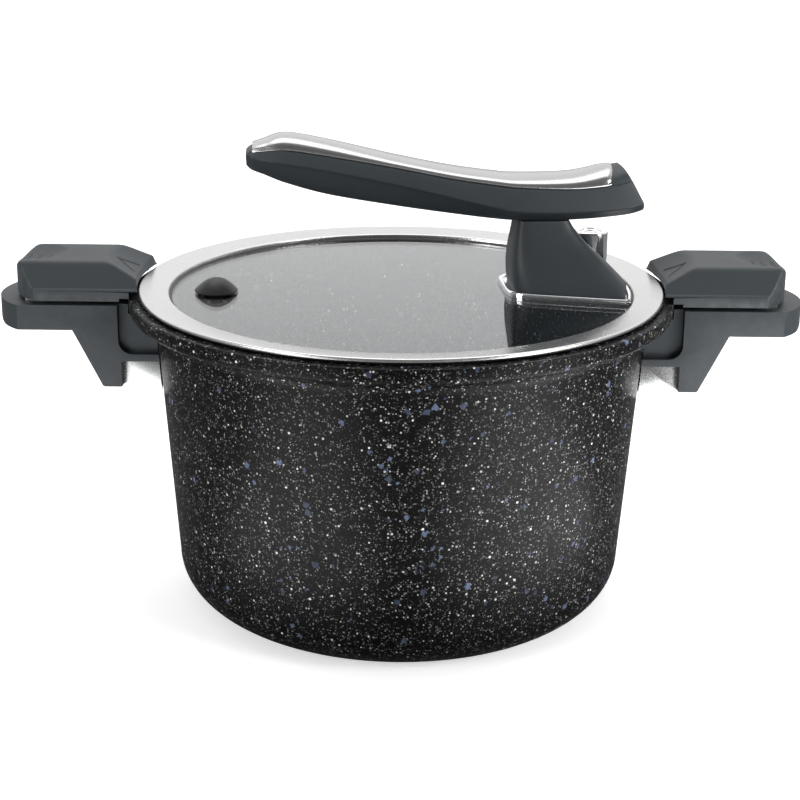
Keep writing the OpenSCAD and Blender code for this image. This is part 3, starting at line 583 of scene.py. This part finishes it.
def pot_profile():
    """Closed section of the cast pot, from the base ring round the outside and back inside."""
    corner = 20.0
    low_r = PLATE_R + corner
    fillet = 9.0
    collar_low = POT_TOP - 7.5
    wall_low, wall_high = POT_BASE + corner, collar_low - fillet
    wall_steps = 12
    under_r, rim_round = 3.0, 0.9
    boss_r = PLATE_R - 2.6
    boss_top = POT_BASE + 1.5
    floor = boss_top + 4.6
    mouth_r, seat_z, seat_r = POT_R - POT_WALL, POT_TOP - 7.0, COLLAR_R - 10.0
    lip, mouth_round = 0.5, 0.6
    inner_low, inner_round = low_r - POT_WALL, corner - 2.0
    outer = [(boss_r, POT_BASE), (PLATE_R - 0.6, POT_BASE)]
    outer += arc(PLATE_R, wall_low, corner, -88, 0, 40)
    for t in range(1, wall_steps):
        share = t / wall_steps
        outer.append((low_r + (POT_R - low_r) * share, wall_low + (wall_high - wall_low) * share))
    outer += arc(POT_R + fillet, wall_high, fillet, 180, 90, 20)
    outer += arc(COLLAR_R - under_r, collar_low + under_r, under_r, -90, 0, 12)
    outer += arc(COLLAR_R - rim_round, POT_TOP - rim_round, rim_round, 0, 90, 8)
    inner = arc(seat_r + lip, POT_TOP - lip, lip, 90, 180, 4)
    inner += [(seat_r, seat_z), (mouth_r + mouth_round, seat_z)]
    inner += arc(mouth_r + mouth_round, seat_z - mouth_round, mouth_round, 90, 180, 4)
    inner += arc(inner_low - inner_round, floor + inner_round, inner_round, 0, -90, 28)
    inner += [(0.0, floor), (0.0, boss_top), (boss_r, boss_top)]
    return outer + inner


def pot():
    """Cast body with the two lugs that the handles are screwed to."""
    body = lathe("pot_cast_body", pot_profile())
    lug_start, lug_end, half, height = 112.0, COLLAR_R + 0.5, 10.5, 15.6
    low = span("right_flame_guard")[0].z + 1.0
    size = ((lug_end - lug_start) * MM, 2 * half * MM, height * MM)
    with editing(body.data) as bm:
        for side in (-1, 1):
            corners = bmesh.ops.create_cube(bm, size=1.0)["verts"]
            bmesh.ops.scale(bm, vec=size, verts=corners)
            middle = (side * (lug_end + lug_start) / 2 * MM, 0.0, (low + height / 2) * MM)
            bmesh.ops.translate(bm, vec=middle, verts=corners)
    smooth(body.data, 40.0)
    settle(body, "pot_body", "pot")


def induction_disc():
    settle(rounded_copy("induction_plate", 0.25, "induction_disc"), "induction_plate", "pot")


# ---------------------------------------------------------------- side handles

def handle_bases():
    right = rounded_copy("right_handle_base", 1.0, "right_handle_grip", 4)
    left = mirrored(right, "left_handle_grip")
    settle(right, "right_handle_base", "pot")
    settle(left, "left_handle_base", "pot")


def lock_height(x, y):
    """Height of a lock's top surface at a place, in millimetres; the lock is drawn on the +X side."""
    top = lock_high.z
    skirt = LOCK_LOW + 5.6
    # the sloped sides, the bowed front panel and the rounded outer end
    ledge_half, top_half = 26.6, 18.3
    panel_x, panel_slope, panel_bow = COLLAR_R + 11.0, 0.62, 0.011
    end_r = 9.0
    side = top - (abs(y) - top_half) * (top - skirt - 0.6) / (ledge_half - top_half)
    panel = top - panel_slope * (panel_x - panel_bow * y * y - x)
    over = max(0.0, x - (lock_high.x - end_r))
    end = top - end_r + math.sqrt(max(0.0, end_r ** 2 - over ** 2)) if over < end_r else top - end_r
    z = softmin(softmin(top, side, 2.2), panel, 1.6)
    z = softmin(z, end + 0.3, 1.2)
    # the thumb hollow and its three ribs
    dish_x, dish_y, dish_r, depth = lock_high.x - 8.0, 1.0, 40.0, 3.4
    rib_from, rib_gap, rib_half, rib_wide, rib_bow = 6.4, 4.8, 9.0, 0.6, 0.012
    away = dish_r ** 2 - (x - dish_x) ** 2 - (y - dish_y) ** 2
    if away > 0:
        dish = top - depth + dish_r - math.sqrt(away)
        z = softmin(z, dish, 0.4)
        inside = max(0.0, min(1.0, (top - dish) / 1.2))
        reach = max(0.0, 1.0 - (abs(y) / rib_half) ** 4)
        for i in range(3):
            rib_x = dish_x - rib_from + rib_gap * i + rib_bow * y * y
            z += inside * reach * math.exp(-((x - rib_x) / rib_wide) ** 2)
    # the groove of the arrow
    apex, half_angle, arm = COLLAR_R + 6.5, math.radians(37), 10.5
    groove_depth, groove_half = 0.85, 0.55
    run = apex - x
    along = run * math.cos(half_angle) + abs(y) * math.sin(half_angle)
    off = abs(run * math.sin(half_angle) - abs(y) * math.cos(half_angle))
    if -0.5 < along < arm + 0.4:
        z -= groove_depth * math.exp(-(off / groove_half) ** 4)
    return max(z, skirt)


def lock_mesh(name):
    """Lid lock: a sculpted top over a straight skirt, with the stepped jaw underneath."""
    half, rows, columns = lock_high.y, 128, 140
    jaw_r, jaw_low = RIM_R + 0.4, RIM_TOP + 0.6
    step_r, step_low = jaw_r + 4.0, POT_TOP + 0.4
    skirt_r = COLLAR_R + 4.4
    end_r = 36.0
    end_x = lock_high.x - end_r
    edge = 0.9
    under = [(jaw_r, jaw_low), (step_r, jaw_low), (step_r, step_low), (skirt_r, step_low),
             (skirt_r, LOCK_LOW)]
    vertices, faces = [], []
    top_index, low_index = [], []
    for j in range(rows + 1):
        y = -half + 2 * half * j / rows
        inner = math.sqrt(jaw_r ** 2 - y * y)
        outer = end_x + math.sqrt(end_r ** 2 - y * y)
        row = []
        for i in range(columns + 1):
            t = i / columns
            x = inner + (outer - inner) * (t * t * (3 - 2 * t) * 0.25 + t * 0.75)  # closer at both ends
            z = lock_height(x, y)
            for gap in (x - inner, outer - x, half - abs(y)):
                if gap < edge:
                    z -= (edge - math.sqrt(edge ** 2 - (edge - gap) ** 2)) * 0.8
            row.append(len(vertices))
            vertices.append((x, y, z))
        top_index.append(row)
        row = []
        for radius, z in under:
            row.append(len(vertices))
            vertices.append((math.sqrt(radius ** 2 - y * y), y, z))
        row.append(len(vertices))
        vertices.append((outer, y, LOCK_LOW))
        low_index.append(row)
    for j in range(rows):
        for i in range(columns):
            faces.append((top_index[j][i], top_index[j][i + 1], top_index[j + 1][i + 1], top_index[j + 1][i]))
        for i in range(len(under)):
            faces.append((low_index[j][i], low_index[j + 1][i], low_index[j + 1][i + 1], low_index[j][i + 1]))
        faces.append((top_index[j][0], top_index[j + 1][0], low_index[j + 1][0], low_index[j][0]))
        faces.append((top_index[j][-1], low_index[j][-1], low_index[j + 1][-1], top_index[j + 1][-1]))
    for j in (0, rows):
        faces.append(tuple(top_index[j] + list(reversed(low_index[j]))))
    return mesh_object(name, vertices, faces, 50.0)


def locks():
    right = lock_mesh("right_lock_grip")
    left = mirrored(right, "left_lock_grip")
    settle(right, "right_lock_slider", "right_lock")
    settle(left, "left_lock_slider", "left_lock")


def screw(shank_r, head_r, length, head_t, flat):
    """Socket screw along +Z, its head between z = 0 and head_t; a flat one has a conical head."""
    count, hexagon, flats = 48, head_r * 0.42, 0.93

    def ring(radius, z, six=False):
        points = []
        for i in range(count):
            a = 2 * math.pi * i / count
            r = radius
            if six:
                r = radius / math.cos(math.radians((math.degrees(a) + 1e-6) % 60 - 30)) * flats
            points.append((r * math.cos(a), r * math.sin(a), z))
        return points

    rings = [ring(shank_r - 0.4, -length), ring(shank_r, -length + 0.4), ring(shank_r, 0.0)]
    if flat:
        rings += [ring(head_r, head_t - 0.2), ring(head_r - 0.12, head_t)]
    else:
        rings += [ring(head_r, 0.0), ring(head_r, head_t - 0.9), ring(head_r - 0.3, head_t - 0.25),
                  ring(head_r - 0.9, head_t)]
    rings += [ring(hexagon + 0.15, head_t, True), ring(hexagon, head_t - 0.15, True),
              ring(hexagon, head_t * 0.45, True)]
    return loft("screw_pattern", rings, 35.0)


def repeat_group():
    """Geometry nodes that put one part on every point and give the copies a material."""
    group = bpy.data.node_groups.new("repeat_part", "GeometryNodeTree")
    inputs = (("Points", "Geometry"), ("Part", "Object"), ("Size", "Float"), ("Finish", "Material"))
    for label, kind in inputs:
        group.interface.new_socket(label, in_out="INPUT", socket_type="NodeSocket" + kind)
    group.interface.new_socket("Copies", in_out="OUTPUT", socket_type="NodeSocketGeometry")
    start = node_at(group, "NodeGroupInput", -800, 0)
    part = node_at(group, "GeometryNodeObjectInfo", -500, -150, Object=start.outputs["Part"])
    place = node_at(group, "GeometryNodeInstanceOnPoints", -200, 0, Points=start.outputs["Points"],
                    Instance=part.outputs["Geometry"], Scale=start.outputs["Size"])
    plain = node_at(group, "GeometryNodeRealizeInstances", 50, 0, Geometry=place.outputs["Instances"])
    finish = node_at(group, "GeometryNodeSetMaterial", 250, 0, Geometry=plain.outputs["Geometry"],
                     Material=start.outputs["Finish"])
    node_at(group, "NodeGroupOutput", 500, 0, Copies=finish.outputs["Geometry"])
    return group


def repeated(name, part, places, finish):
    """One plain mesh with a copy of the part at each place."""
    mesh = bpy.data.meshes.new(name)
    mesh.from_pydata([tuple(c * MM for c in place) for place in places], [], [])
    obj = new_object(name, mesh)
    modifier = obj.modifiers.new("repeat", "NODES")
    modifier.node_group = REPEAT
    values = {"Part": part, "Size": 1.0, "Finish": finish}
    for item in REPEAT.interface.items_tree:
        if item.in_out == "INPUT" and item.name in values:
            modifier[item.identifier] = values[item.name]
    applied(obj, 35.0)
    bpy.data.objects.remove(part)
    return obj


REPEAT = repeat_group()


def screw_sets():
    """Countersunk screws in the guide plates and cap screws in the handles' legs."""
    from_inner, from_outer, half_gap = 5, 9, 14
    head_r, head_t = 4.6, 3.0
    low, high = span("right_handle_screws")
    for side, sign in (("left", -1), ("right", 1)):
        node = side + "_guide_screws"
        part = screw(1.5, 3.0, 8.5, guide_high.z - guide_low.z, True)
        places = [(sign * x, y, guide_low.z) for x in (guide_low.x + from_inner, guide_high.x - from_outer)
                  for y in (-half_gap, half_gap)]
        settle(repeated(node + "_set", part, places, FINISHES["screw"]), node, "pot")
        node = side + "_handle_screws"
        part = screw(2.5, head_r, high.x - low.x - head_t, head_t, False)
        part.data.transform(Matrix.Rotation(sign * math.pi / 2, 4, "Y"))
        places = [(sign * (high.x - head_t), y, (low.z + high.z) / 2)
                  for y in (low.y + head_r, high.y - head_r)]
        settle(repeated(node + "_set", part, places, FINISHES["screw"]), node, "pot")


def hardware():
    """Rounded copies of the sheet-metal pieces."""
    for side in ("left", "right"):
        for node, width in (("flame_guard", 0.4), ("guide_plate", 0.25)):
            node = side + "_" + node
            settle(rounded_copy(node, width), node, "pot")
    for node, width in (("clamp_plate", 0.3), ("valve_nut", 0.4), ("post_screws", 0.3)):
        settle(rounded_copy(node, width), node, "lid")


# ---------------------------------------------------------------- lid

def rim_under(r):
    """Height of the rim sheet's underside at a radius."""
    slope = (RIM_TOP - RIM_CREST) / (RIM_R - RIM_INNER)
    return RIM_CREST - RIM_SHEET + slope * (r - RIM_INNER)


def rim_profile():
    """Section of the steel rim: a dished sheet with a hem on the glass and a rolled outer lip."""
    hem, lip = RIM_INNER + 1.3, RIM_TOP - 1.6
    points = [(RIM_INNER, GLASS_TOP + 0.1)]
    points += arc(RIM_INNER + RIM_SHEET, RIM_CREST - RIM_SHEET, RIM_SHEET, 180, 96, 10)
    points += arc(RIM_R - RIM_SHEET, RIM_TOP - RIM_SHEET, RIM_SHEET, 96, 0, 12)
    points += [(RIM_R, lip + 0.2), (RIM_R - 0.25, lip), (RIM_R - RIM_SHEET, lip)]
    points += [(r, rim_under(r)) for r in (RIM_R - RIM_SHEET, hem)]
    return points + [(hem, GLASS_TOP)]


def gasket_profile():
    """Section of the silicone ring that fills the rim, holds the glass and seals on the pot."""
    flange, lip_in, seal = RIM_R - 1.0, RIM_INNER + 1.4, COLLAR_R - 10.4
    flange_low = POT_TOP + 0.4
    return [
        (flange - 0.3, flange_low), (flange, flange_low + 0.3), (flange, rim_under(flange)),
        (lip_in, rim_under(lip_in)), (lip_in, GLASS_TOP), (GLASS_EDGE, GLASS_TOP),
        (GLASS_EDGE, GLASS_LOW), (GASKET_INNER, GLASS_LOW), (GASKET_INNER, gasket_low.z + 0.4),
        (GASKET_INNER + 0.4, gasket_low.z), (seal - 0.5, gasket_low.z), (seal, gasket_low.z + 0.5),
        (seal, flange_low),
    ]


def add_bead(mesh):
    """Silicone bead on the glass along the rim's inner edge, joined to the gasket's mesh."""
    outer = RIM_INNER + 0.02
    profile = [(RIM_INNER - 1.4, GLASS_TOP), (outer, GLASS_TOP), (outer, GLASS_TOP + 0.7),
               (RIM_INNER - 0.6, GLASS_TOP + 0.55), (RIM_INNER - 1.2, GLASS_TOP + 0.2)]
    bead = lathe("glass_edge_bead", profile)
    with editing(mesh) as bm:
        bm.from_mesh(bead.data)
    smooth(mesh, 40.0)
    bpy.data.objects.remove(bead)


def lid_rings():
    settle(lathe("lid_steel_rim", rim_profile(), sharp=35.0), "lid_rim", "lid")
    gasket = lathe("lid_silicone_gasket", gasket_profile())
    add_bead(gasket.data)
    settle(gasket, "lid_gasket", "lid")


def fan(left, right, h_left, h_right, square, count):
    """Rounded fan outline with a straight left edge, in the lid's own frame."""
    points = []
    for i in range(count):
        a = 2 * math.pi * i / count
        c, s = math.cos(a), math.sin(a)
        u = math.copysign(abs(c) ** (2 / square), c)
        v = math.copysign(abs(s) ** (2 / square), s)
        x = (left + right) / 2 + (right - left) / 2 * u
        h = h_left + (h_right - h_left) * (x - left) / (right - left)
        points.append((x, h * v))
    return points


def bezel():
    """Polished plate with a rounded raised lip, cut to the lid's arc."""
    count = 360
    outline = []
    for x, y in fan(49.0, 113.0, 19.5, 39.0, 6, count):
        r = math.hypot(x, y)
        if r > BEZEL_ARC:
            x, y = x * BEZEL_ARC / r, y * BEZEL_ARC / r
        outline.append(Vector((x, y)))
    # section as (inset from the outline, height): a rounded lip, then the flat plate
    plate, lip_round = 1.2, 0.8
    section = [(0.0, 0.0), (0.0, plate)]
    for a in (20, 40, 60, 80, 90):
        rise = plate * math.sin(math.radians(a))
        section.append((lip_round - lip_round * math.cos(math.radians(a)), plate + rise))
    section += [(1.5, 2 * plate), (1.9, 2.2), (2.2, 1.8), (BEZEL_LIP, 1.25), (3.2, plate), (8.0, plate)]
    rings = []
    for inset, height in section:
        ring = []
        for i in range(count):
            before, here, after = outline[i - 1], outline[i], outline[(i + 1) % count]
            along = (after - before).normalized()
            inward = Vector((-along.y, along.x))
            ring.append((here.x + inward.x * inset, here.y + inward.y * inset, GLASS_TOP + height))
        rings.append(turn(ring))
    settle(loft("post_chrome_bezel", rings), "post_bezel", "lid")


POST_LEVELS = [
    # share of height, left edge, right edge, left half width, right half width
    (0.0, 53.2, 107.0, 17.0, 34.0),
    (0.03, 53.0, 107.6, 17.2, 34.4),
    (0.09, 52.6, 107.4, 17.0, 33.6),
    (0.2, 52.2, 104.6, 16.6, 30.5),
    (0.38, 52.0, 98.5, 15.6, 24.0),
    (0.6, 52.6, 90.5, 13.8, 17.0),
    (0.84, 53.8, 83.0, 11.8, 12.6),
    (1.0, 54.5, 79.5, 11.0, 11.4),
]


def valve_place():
    return ((tube_low.x + tube_high.x) / 2, (tube_low.y + tube_high.y) / 2)


def post():
    """Moulded post between the bezel and the lever, hollowed where the valve's tube passes."""
    rings = []
    reach = BEZEL_ARC - BEZEL_LIP - 0.3
    for share, left, right, h_left, h_right in blend_rows(POST_LEVELS, 5):
        z = post_low.z + (POST_TOP - post_low.z) * share
        ring = []
        for x, y in fan(left, right, h_left, h_right, 6, 144):
            k = min(1.0, reach / math.hypot(x, y))
            ring.append((k * x, k * y, z))
        rings.append(turn(ring))
    body = loft("handle_post_body", rings, 50.0)
    x, y = valve_place()
    relief = tube_high.x - x + 1.6
    past = 40.0
    outline = arc(0.0, 0.0, relief, 180, 360, 24) + [(relief, past), (-relief, past)]
    cutter_rings = []
    for z in (post_low.z - 1, POST_TOP - 1.0):
        ring = turn([(px, py, z) for px, py in outline])
        cutter_rings.append([(px + x, py + y, pz) for px, py, pz in ring])
    cutter = loft("post_relief_cutter", cutter_rings)
    cut = body.modifiers.new("relief", "BOOLEAN")
    cut.operation = "DIFFERENCE"
    cut.object = cutter
    cut.solver = "EXACT"
    applied(body, 50.0)
    bpy.data.objects.remove(cutter)
    settle(body, "handle_post", "lid")


# Lever stations: place along the lever, then crest, cover edge, crease and underside as heights
# above the top of the post, and the share of the half width.
LEVER_STATIONS = [
    (-73.5, 34.4, 33.3, 31.2, 27.2, 0.5),
    (-71, 36.4, 34.4, 30.6, 24.8, 0.66),
    (-65, 38.6, 35.4, 29.4, 22.5, 0.78),
    (-55, 41.4, 36, 28.4, 18.6, 0.9),
    (-35, 38, 33, 25, 13, 0.93),
    (-4, 30.5, 27.4, 18.5, 7.5, 0.94),
    (22, 25.2, 22.2, 12.2, 3.6, 0.95),
    (42, 22.3, 19.2, 7.4, 1, 0.97),
    (55, 21.2, 17.8, 5, 0, 1),
    (80, 21.9, 17.1, 4.8, 0, 1),
    (97, 25.6, 19, 6.3, 2, 0.97),
    (104, 27, 21, 8, 4.5, 0.9),
]
LEVER_HALF = 16.0
LEVER_STEPS = 8
COVER_T = 1.2
COVER_INSET = 0.9
END_SLOPE = 0.52
END_FROM, END_AT = 80.0, 104.0


def end_shift(x, z, crest):
    """How far a point of the lever's outer end moves out, so that the end leans."""
    return END_SLOPE * (crest - z) * max(0.0, x - END_FROM) / (END_AT - END_FROM)


def crown_point(row, share, drop, inset):
    """Point on the lever's crowned top; share runs from 0 at the crest to 1 at the cover's edge."""
    x, crest, edge, _, _, width = row
    w = LEVER_HALF * width - inset
    z = crest - (crest - edge) * share * share - drop
    return (x + end_shift(x, z, crest), w * math.sin(math.pi / 2 * share), z)


def chaikin(points, passes):
    """Rounds the corners of an open line and keeps its ends."""
    for _ in range(passes):
        cut = [points[0]]
        for a, b in zip(points, points[1:]):
            cut.append(tuple(p * 0.75 + q * 0.25 for p, q in zip(a, b)))
            cut.append(tuple(p * 0.25 + q * 0.75 for p, q in zip(a, b)))
        cut.append(points[-1])
        points = cut
    return points


def lever_ring(row, shrink=0.0):
    """Section of the lever at a station; shrink draws it in for the rounded ends."""
    x, crest, edge, crease, under, width = row
    w = LEVER_HALF * width
    top = [crown_point(row, i / 8, COVER_T, COVER_INSET) for i in range(9)]
    low = [(w - 0.2, edge - COVER_T - 0.1), (w, edge - COVER_T - 1.0), (w, crease + 1.6),
           (w - 0.1, crease + 0.5), (w - 0.9, crease - 0.4), (0.84 * w, crease - 0.3 * (crease - under)),
           (0.62 * w, under + 0.14 * (crease - under)), (0.48 * w, under), (0.2 * w, under), (0.0, under)]
    low = chaikin(low, 2)
    half = top + [(x + end_shift(x, z, crest), y, z) for y, z in low]
    ring = half + [(px, -py, pz) for px, py, pz in reversed(half[1:-1])]
    if shrink:
        cx = sum(p[0] for p in ring) / len(ring)
        cz = (crest + under) / 2
        ring = [(cx + (px - cx) * (1 - shrink * 0.2), py * (1 - shrink), cz + (pz - cz) * (1 - shrink))
                for px, py, pz in ring]
    return ring


def lifted(ring):
    """A lever section put on top of the post and turned with the lid."""
    return turn([(p[0], p[1], p[2] + POST_TOP) for p in ring])


def lever():
    rows = blend_rows(LEVER_STATIONS, LEVER_STEPS)
    first, last = rows[0], rows[-1]
    head = [[(px + into, py, pz) for px, py, pz in lever_ring(first, s)]
            for into, s in ((0.0, 0.5), (0.3, 0.2), (0.6, 0.05))]
    tail = [[(px + out - 1.0, py, pz) for px, py, pz in lever_ring(last, s)]
            for out, s in ((0.54, 0.015), (0.96, 0.045), (1.2, 0.09))]
    rings = head + [lever_ring(row) for row in rows[1:-1]] + tail
    settle(loft("lever_grip", [lifted(r) for r in rings], 60.0), "lever_body", "lid")


def cover_half(row, drop, squeeze):
    """Half of the cover's arch at a station, from the crest to its edge."""
    points = [crown_point(row, i / 12, drop, COVER_INSET) for i in range(13)]
    return [(px, py * squeeze, pz) for px, py, pz in points]


def cover():
    """Steel cover: a thin shell over the lever's crown, with rounded ends."""
    start, limit, radius = -70.6, 100.2, 6.0
    rows = [r for r in blend_rows(LEVER_STATIONS, LEVER_STEPS) if start <= r[0] <= limit]
    stop = rows[-1][0]
    rings = []
    for row in rows:
        squeeze, gap = 1.0, stop - row[0]
        if gap < radius:
            squeeze = math.sqrt(max(0.02, 1 - ((radius - gap) / radius) ** 2)) * 0.75 + 0.25
        crown = cover_half(row, 0.0, squeeze)
        ex, ey, ez = crown[-1]
        edge = [(ex, ey + 0.35, ez - 0.35), (ex, ey + 0.3, ez - 0.9)]
        inner = list(reversed(cover_half(row, COVER_T - 0.02, squeeze)))
        right = crown[1:] + edge
        left = [(px, -py, pz) for px, py, pz in reversed(right)]
        inner_left = [(px, -py, pz) for px, py, pz in reversed(inner[:-1])]
        rings.append(left + [crown[0]] + right + inner + inner_left)
    settle(loft("lever_steel_cover", [lifted(r) for r in rings], 50.0), "lever_cover", "lid")


# ---------------------------------------------------------------- valve and vent

def valve():
    centre = valve_place()
    outer = tube_high.x - centre[0]
    bore, stem, vent = outer - 3.2, 6.5, 2.2
    floor, top, low = post_low.z + 3.0, tube_high.z, tube_low.z
    mouth = 0.9
    profile = [(vent, low), (stem - 0.5, low), (stem, low + 0.5), (stem, post_low.z)]
    profile += [(outer - 0.2, post_low.z), (outer, post_low.z + 0.2), (outer, top - mouth)]
    profile += arc(outer - mouth, top - mouth, mouth, 0, 90, 6)
    profile += [(bore + 0.35, top), (bore, top - 0.35), (bore, floor), (vent + 2, floor), (vent, floor - 2.0)]
    settle(lathe("valve_chrome_tube", profile, centre, 128), "valve_tube", "lid")
    hole, cap_r = 2.9, bore - 0.05
    cap = [(hole, cap_low.z), (cap_r, cap_low.z), (cap_r, cap_high.z - 0.3), (cap_r - 0.3, cap_high.z),
           (hole + 0.5, cap_high.z), (hole, cap_high.z - 0.5)]
    settle(lathe("valve_ring_cap", cap, centre, 96), "valve_cap", "lid")
    settle(rounded_copy("valve_pin", 0.15), "valve_pin", "valve_pin")


def vent():
    centre = ((plug_low.x + plug_high.x) / 2, (plug_low.y + plug_high.y) / 2)
    radius = (plug_high.x - plug_low.x) / 2
    base = GLASS_TOP + 0.4
    wide = base + 0.7
    catch = GLASS_LOW - 4.0
    low, high = plug_low.z, plug_high.z
    neck, barb, steps = 3.2, 4.8, 24
    profile = [(0, low), (neck - 0.3, low), (neck, low + 0.3), (barb - 0.1, catch - 1.0), (barb, catch),
               (neck, catch), (neck, base)]
    profile += [(radius - 0.7, base), (radius - 0.35, base + 0.1), (radius - 0.05, wide - 0.25)]
    for i in range(steps):
        t = 1 - i / steps
        profile.append((radius * t, wide + (high - wide) * (1 - t * t)))
    profile += [(0, high)]
    settle(lathe("vent_silicone_plug", profile, centre, 96), "vent_plug", "vent_plug")


# ---------------------------------------------------------------- stage, light and camera

def studio_floor():
    """Pale floor; it is dimmer to other rays, so that dark glossy pieces do not reflect a white floor."""
    mesh = bpy.data.meshes.new("studio_floor")
    reach = 20.0
    corners = [(-reach, -reach, 0), (reach, -reach, 0), (reach, reach, 0), (-reach, reach, 0)]
    mesh.from_pydata(corners, [], [(0, 1, 2, 3)])
    f = Finish("studio_floor", Roughness=0.8, Specular_IOR_Level=0.0, Emission_Strength=1.0)
    patina = f.group(PATINA, -1200, 200, Broad=3.0, Fine=40.0, Spread=0.01)
    seen = node_at(f.tree, "ShaderNodeLightPath", -900, 500).outputs["Is Camera Ray"]
    f.colour(f.shaded(f.mix(seen, (0.22, 0.22, 0.22), (0.93, 0.93, 0.93)), patina.outputs["Shade"]))
    f.link(f.mix(seen, (0.0, 0.0, 0.0), (0.5, 0.5, 0.5), -500, -600), f.shader.inputs["Emission Color"])
    mesh.materials.append(f.material)
    new_object("studio_floor", mesh)


def studio_world():
    """Soft surrounding light, darker in front and near the horizon."""
    world = bpy.data.worlds.new("studio")
    world.use_nodes = True
    tree = world.node_tree
    toward = node_at(tree, "ShaderNodeTexCoord", -800, 0).outputs["Generated"]
    way = node_at(tree, "ShaderNodeSeparateXYZ", -600, 0, Vector=toward)
    spread = node_at(tree, "ShaderNodeMapRange", -400, 0, Value=way.outputs["Y"])
    spread.inputs["From Min"].default_value = -1.0
    shade = ramp(tree, -200, 100, spread.outputs[0], [(0.0, 0.12), (0.4, 0.3), (0.7, 1.0)])
    height = ramp(tree, -200, -200, way.outputs["Z"], [(0.02, 0.25), (0.14, 1.0)])
    both = node_at(tree, "ShaderNodeMix", 100, 0, data_type="RGBA", blend_type="MULTIPLY")
    both.inputs[0].default_value = 1.0
    tree.links.new(shade, both.inputs[6])
    tree.links.new(height, both.inputs[7])
    tree.links.new(both.outputs[2], tree.nodes["Background"].inputs["Color"])
    tree.nodes["Background"].inputs["Strength"].default_value = 1.1
    bpy.context.scene.world = world


# name, place, size, power; the softboxes face the pot, the bounce lights lie on the floor and face up
LIGHTS = [
    ("softbox_left", (-1.1, -0.9, 0.5), (0.4, 0.9), 9.0),
    ("softbox_right", (1.2, -0.7, 0.5), (0.45, 0.9), 15.0),
    ("softbox_top", (0.0, 0.5, 1.6), (1.6, 1.2), 10.0),
    ("bounce_left", (-0.26, -0.36, 0.004), (0.58, 0.2), 1.0),
    ("bounce_right", (0.32, -0.31, 0.004), (0.58, 0.24), 1.7),
]
AIM = Vector((0.0, 0.0, 0.1))


def lights():
    for name, place, size, power in LIGHTS:
        light = bpy.data.lights.new(name, "AREA")
        light.shape = "RECTANGLE"
        light.size, light.size_y = size
        light.energy = power
        lamp = bpy.data.objects.new(name, light)
        lamp.location = place
        if name.startswith("softbox"):
            lamp.rotation_euler = (AIM - Vector(place)).to_track_quat("-Z", "Y").to_euler()
        else:
            lamp.rotation_euler = (math.pi, 0.0, math.atan2(place[1], place[0]))
        bpy.context.scene.collection.objects.link(lamp)


def camera():
    elevation, roll_angle, distance = math.radians(14.45), math.radians(0.58), 0.700
    target = Vector((0, 0, RIM_TOP * MM))
    data = bpy.data.cameras.new("camera")
    data.sensor_width = 36.0
    data.lens = 65.36
    data.shift_x = -0.0016
    data.shift_y = -0.1485
    cam = bpy.data.objects.new("camera", data)
    back = Vector((0, -math.cos(elevation), math.sin(elevation)))
    cam.location = target + back * distance
    tilt = Matrix.Rotation(math.pi / 2 - elevation, 4, "X")
    roll = Matrix.Rotation(roll_angle, 4, "Z")
    cam.rotation_euler = (tilt @ roll).to_euler()
    bpy.context.scene.collection.objects.link(cam)
    bpy.context.scene.camera = cam


pot()
induction_disc()
handle_bases()
locks()
hardware()
screw_sets()
lid_rings()
bezel()
post()
lever()
cover()
valve()
vent()
studio_floor()
studio_world()
lights()
camera()
bpy.context.scene.view_settings.view_transform = "Standard"
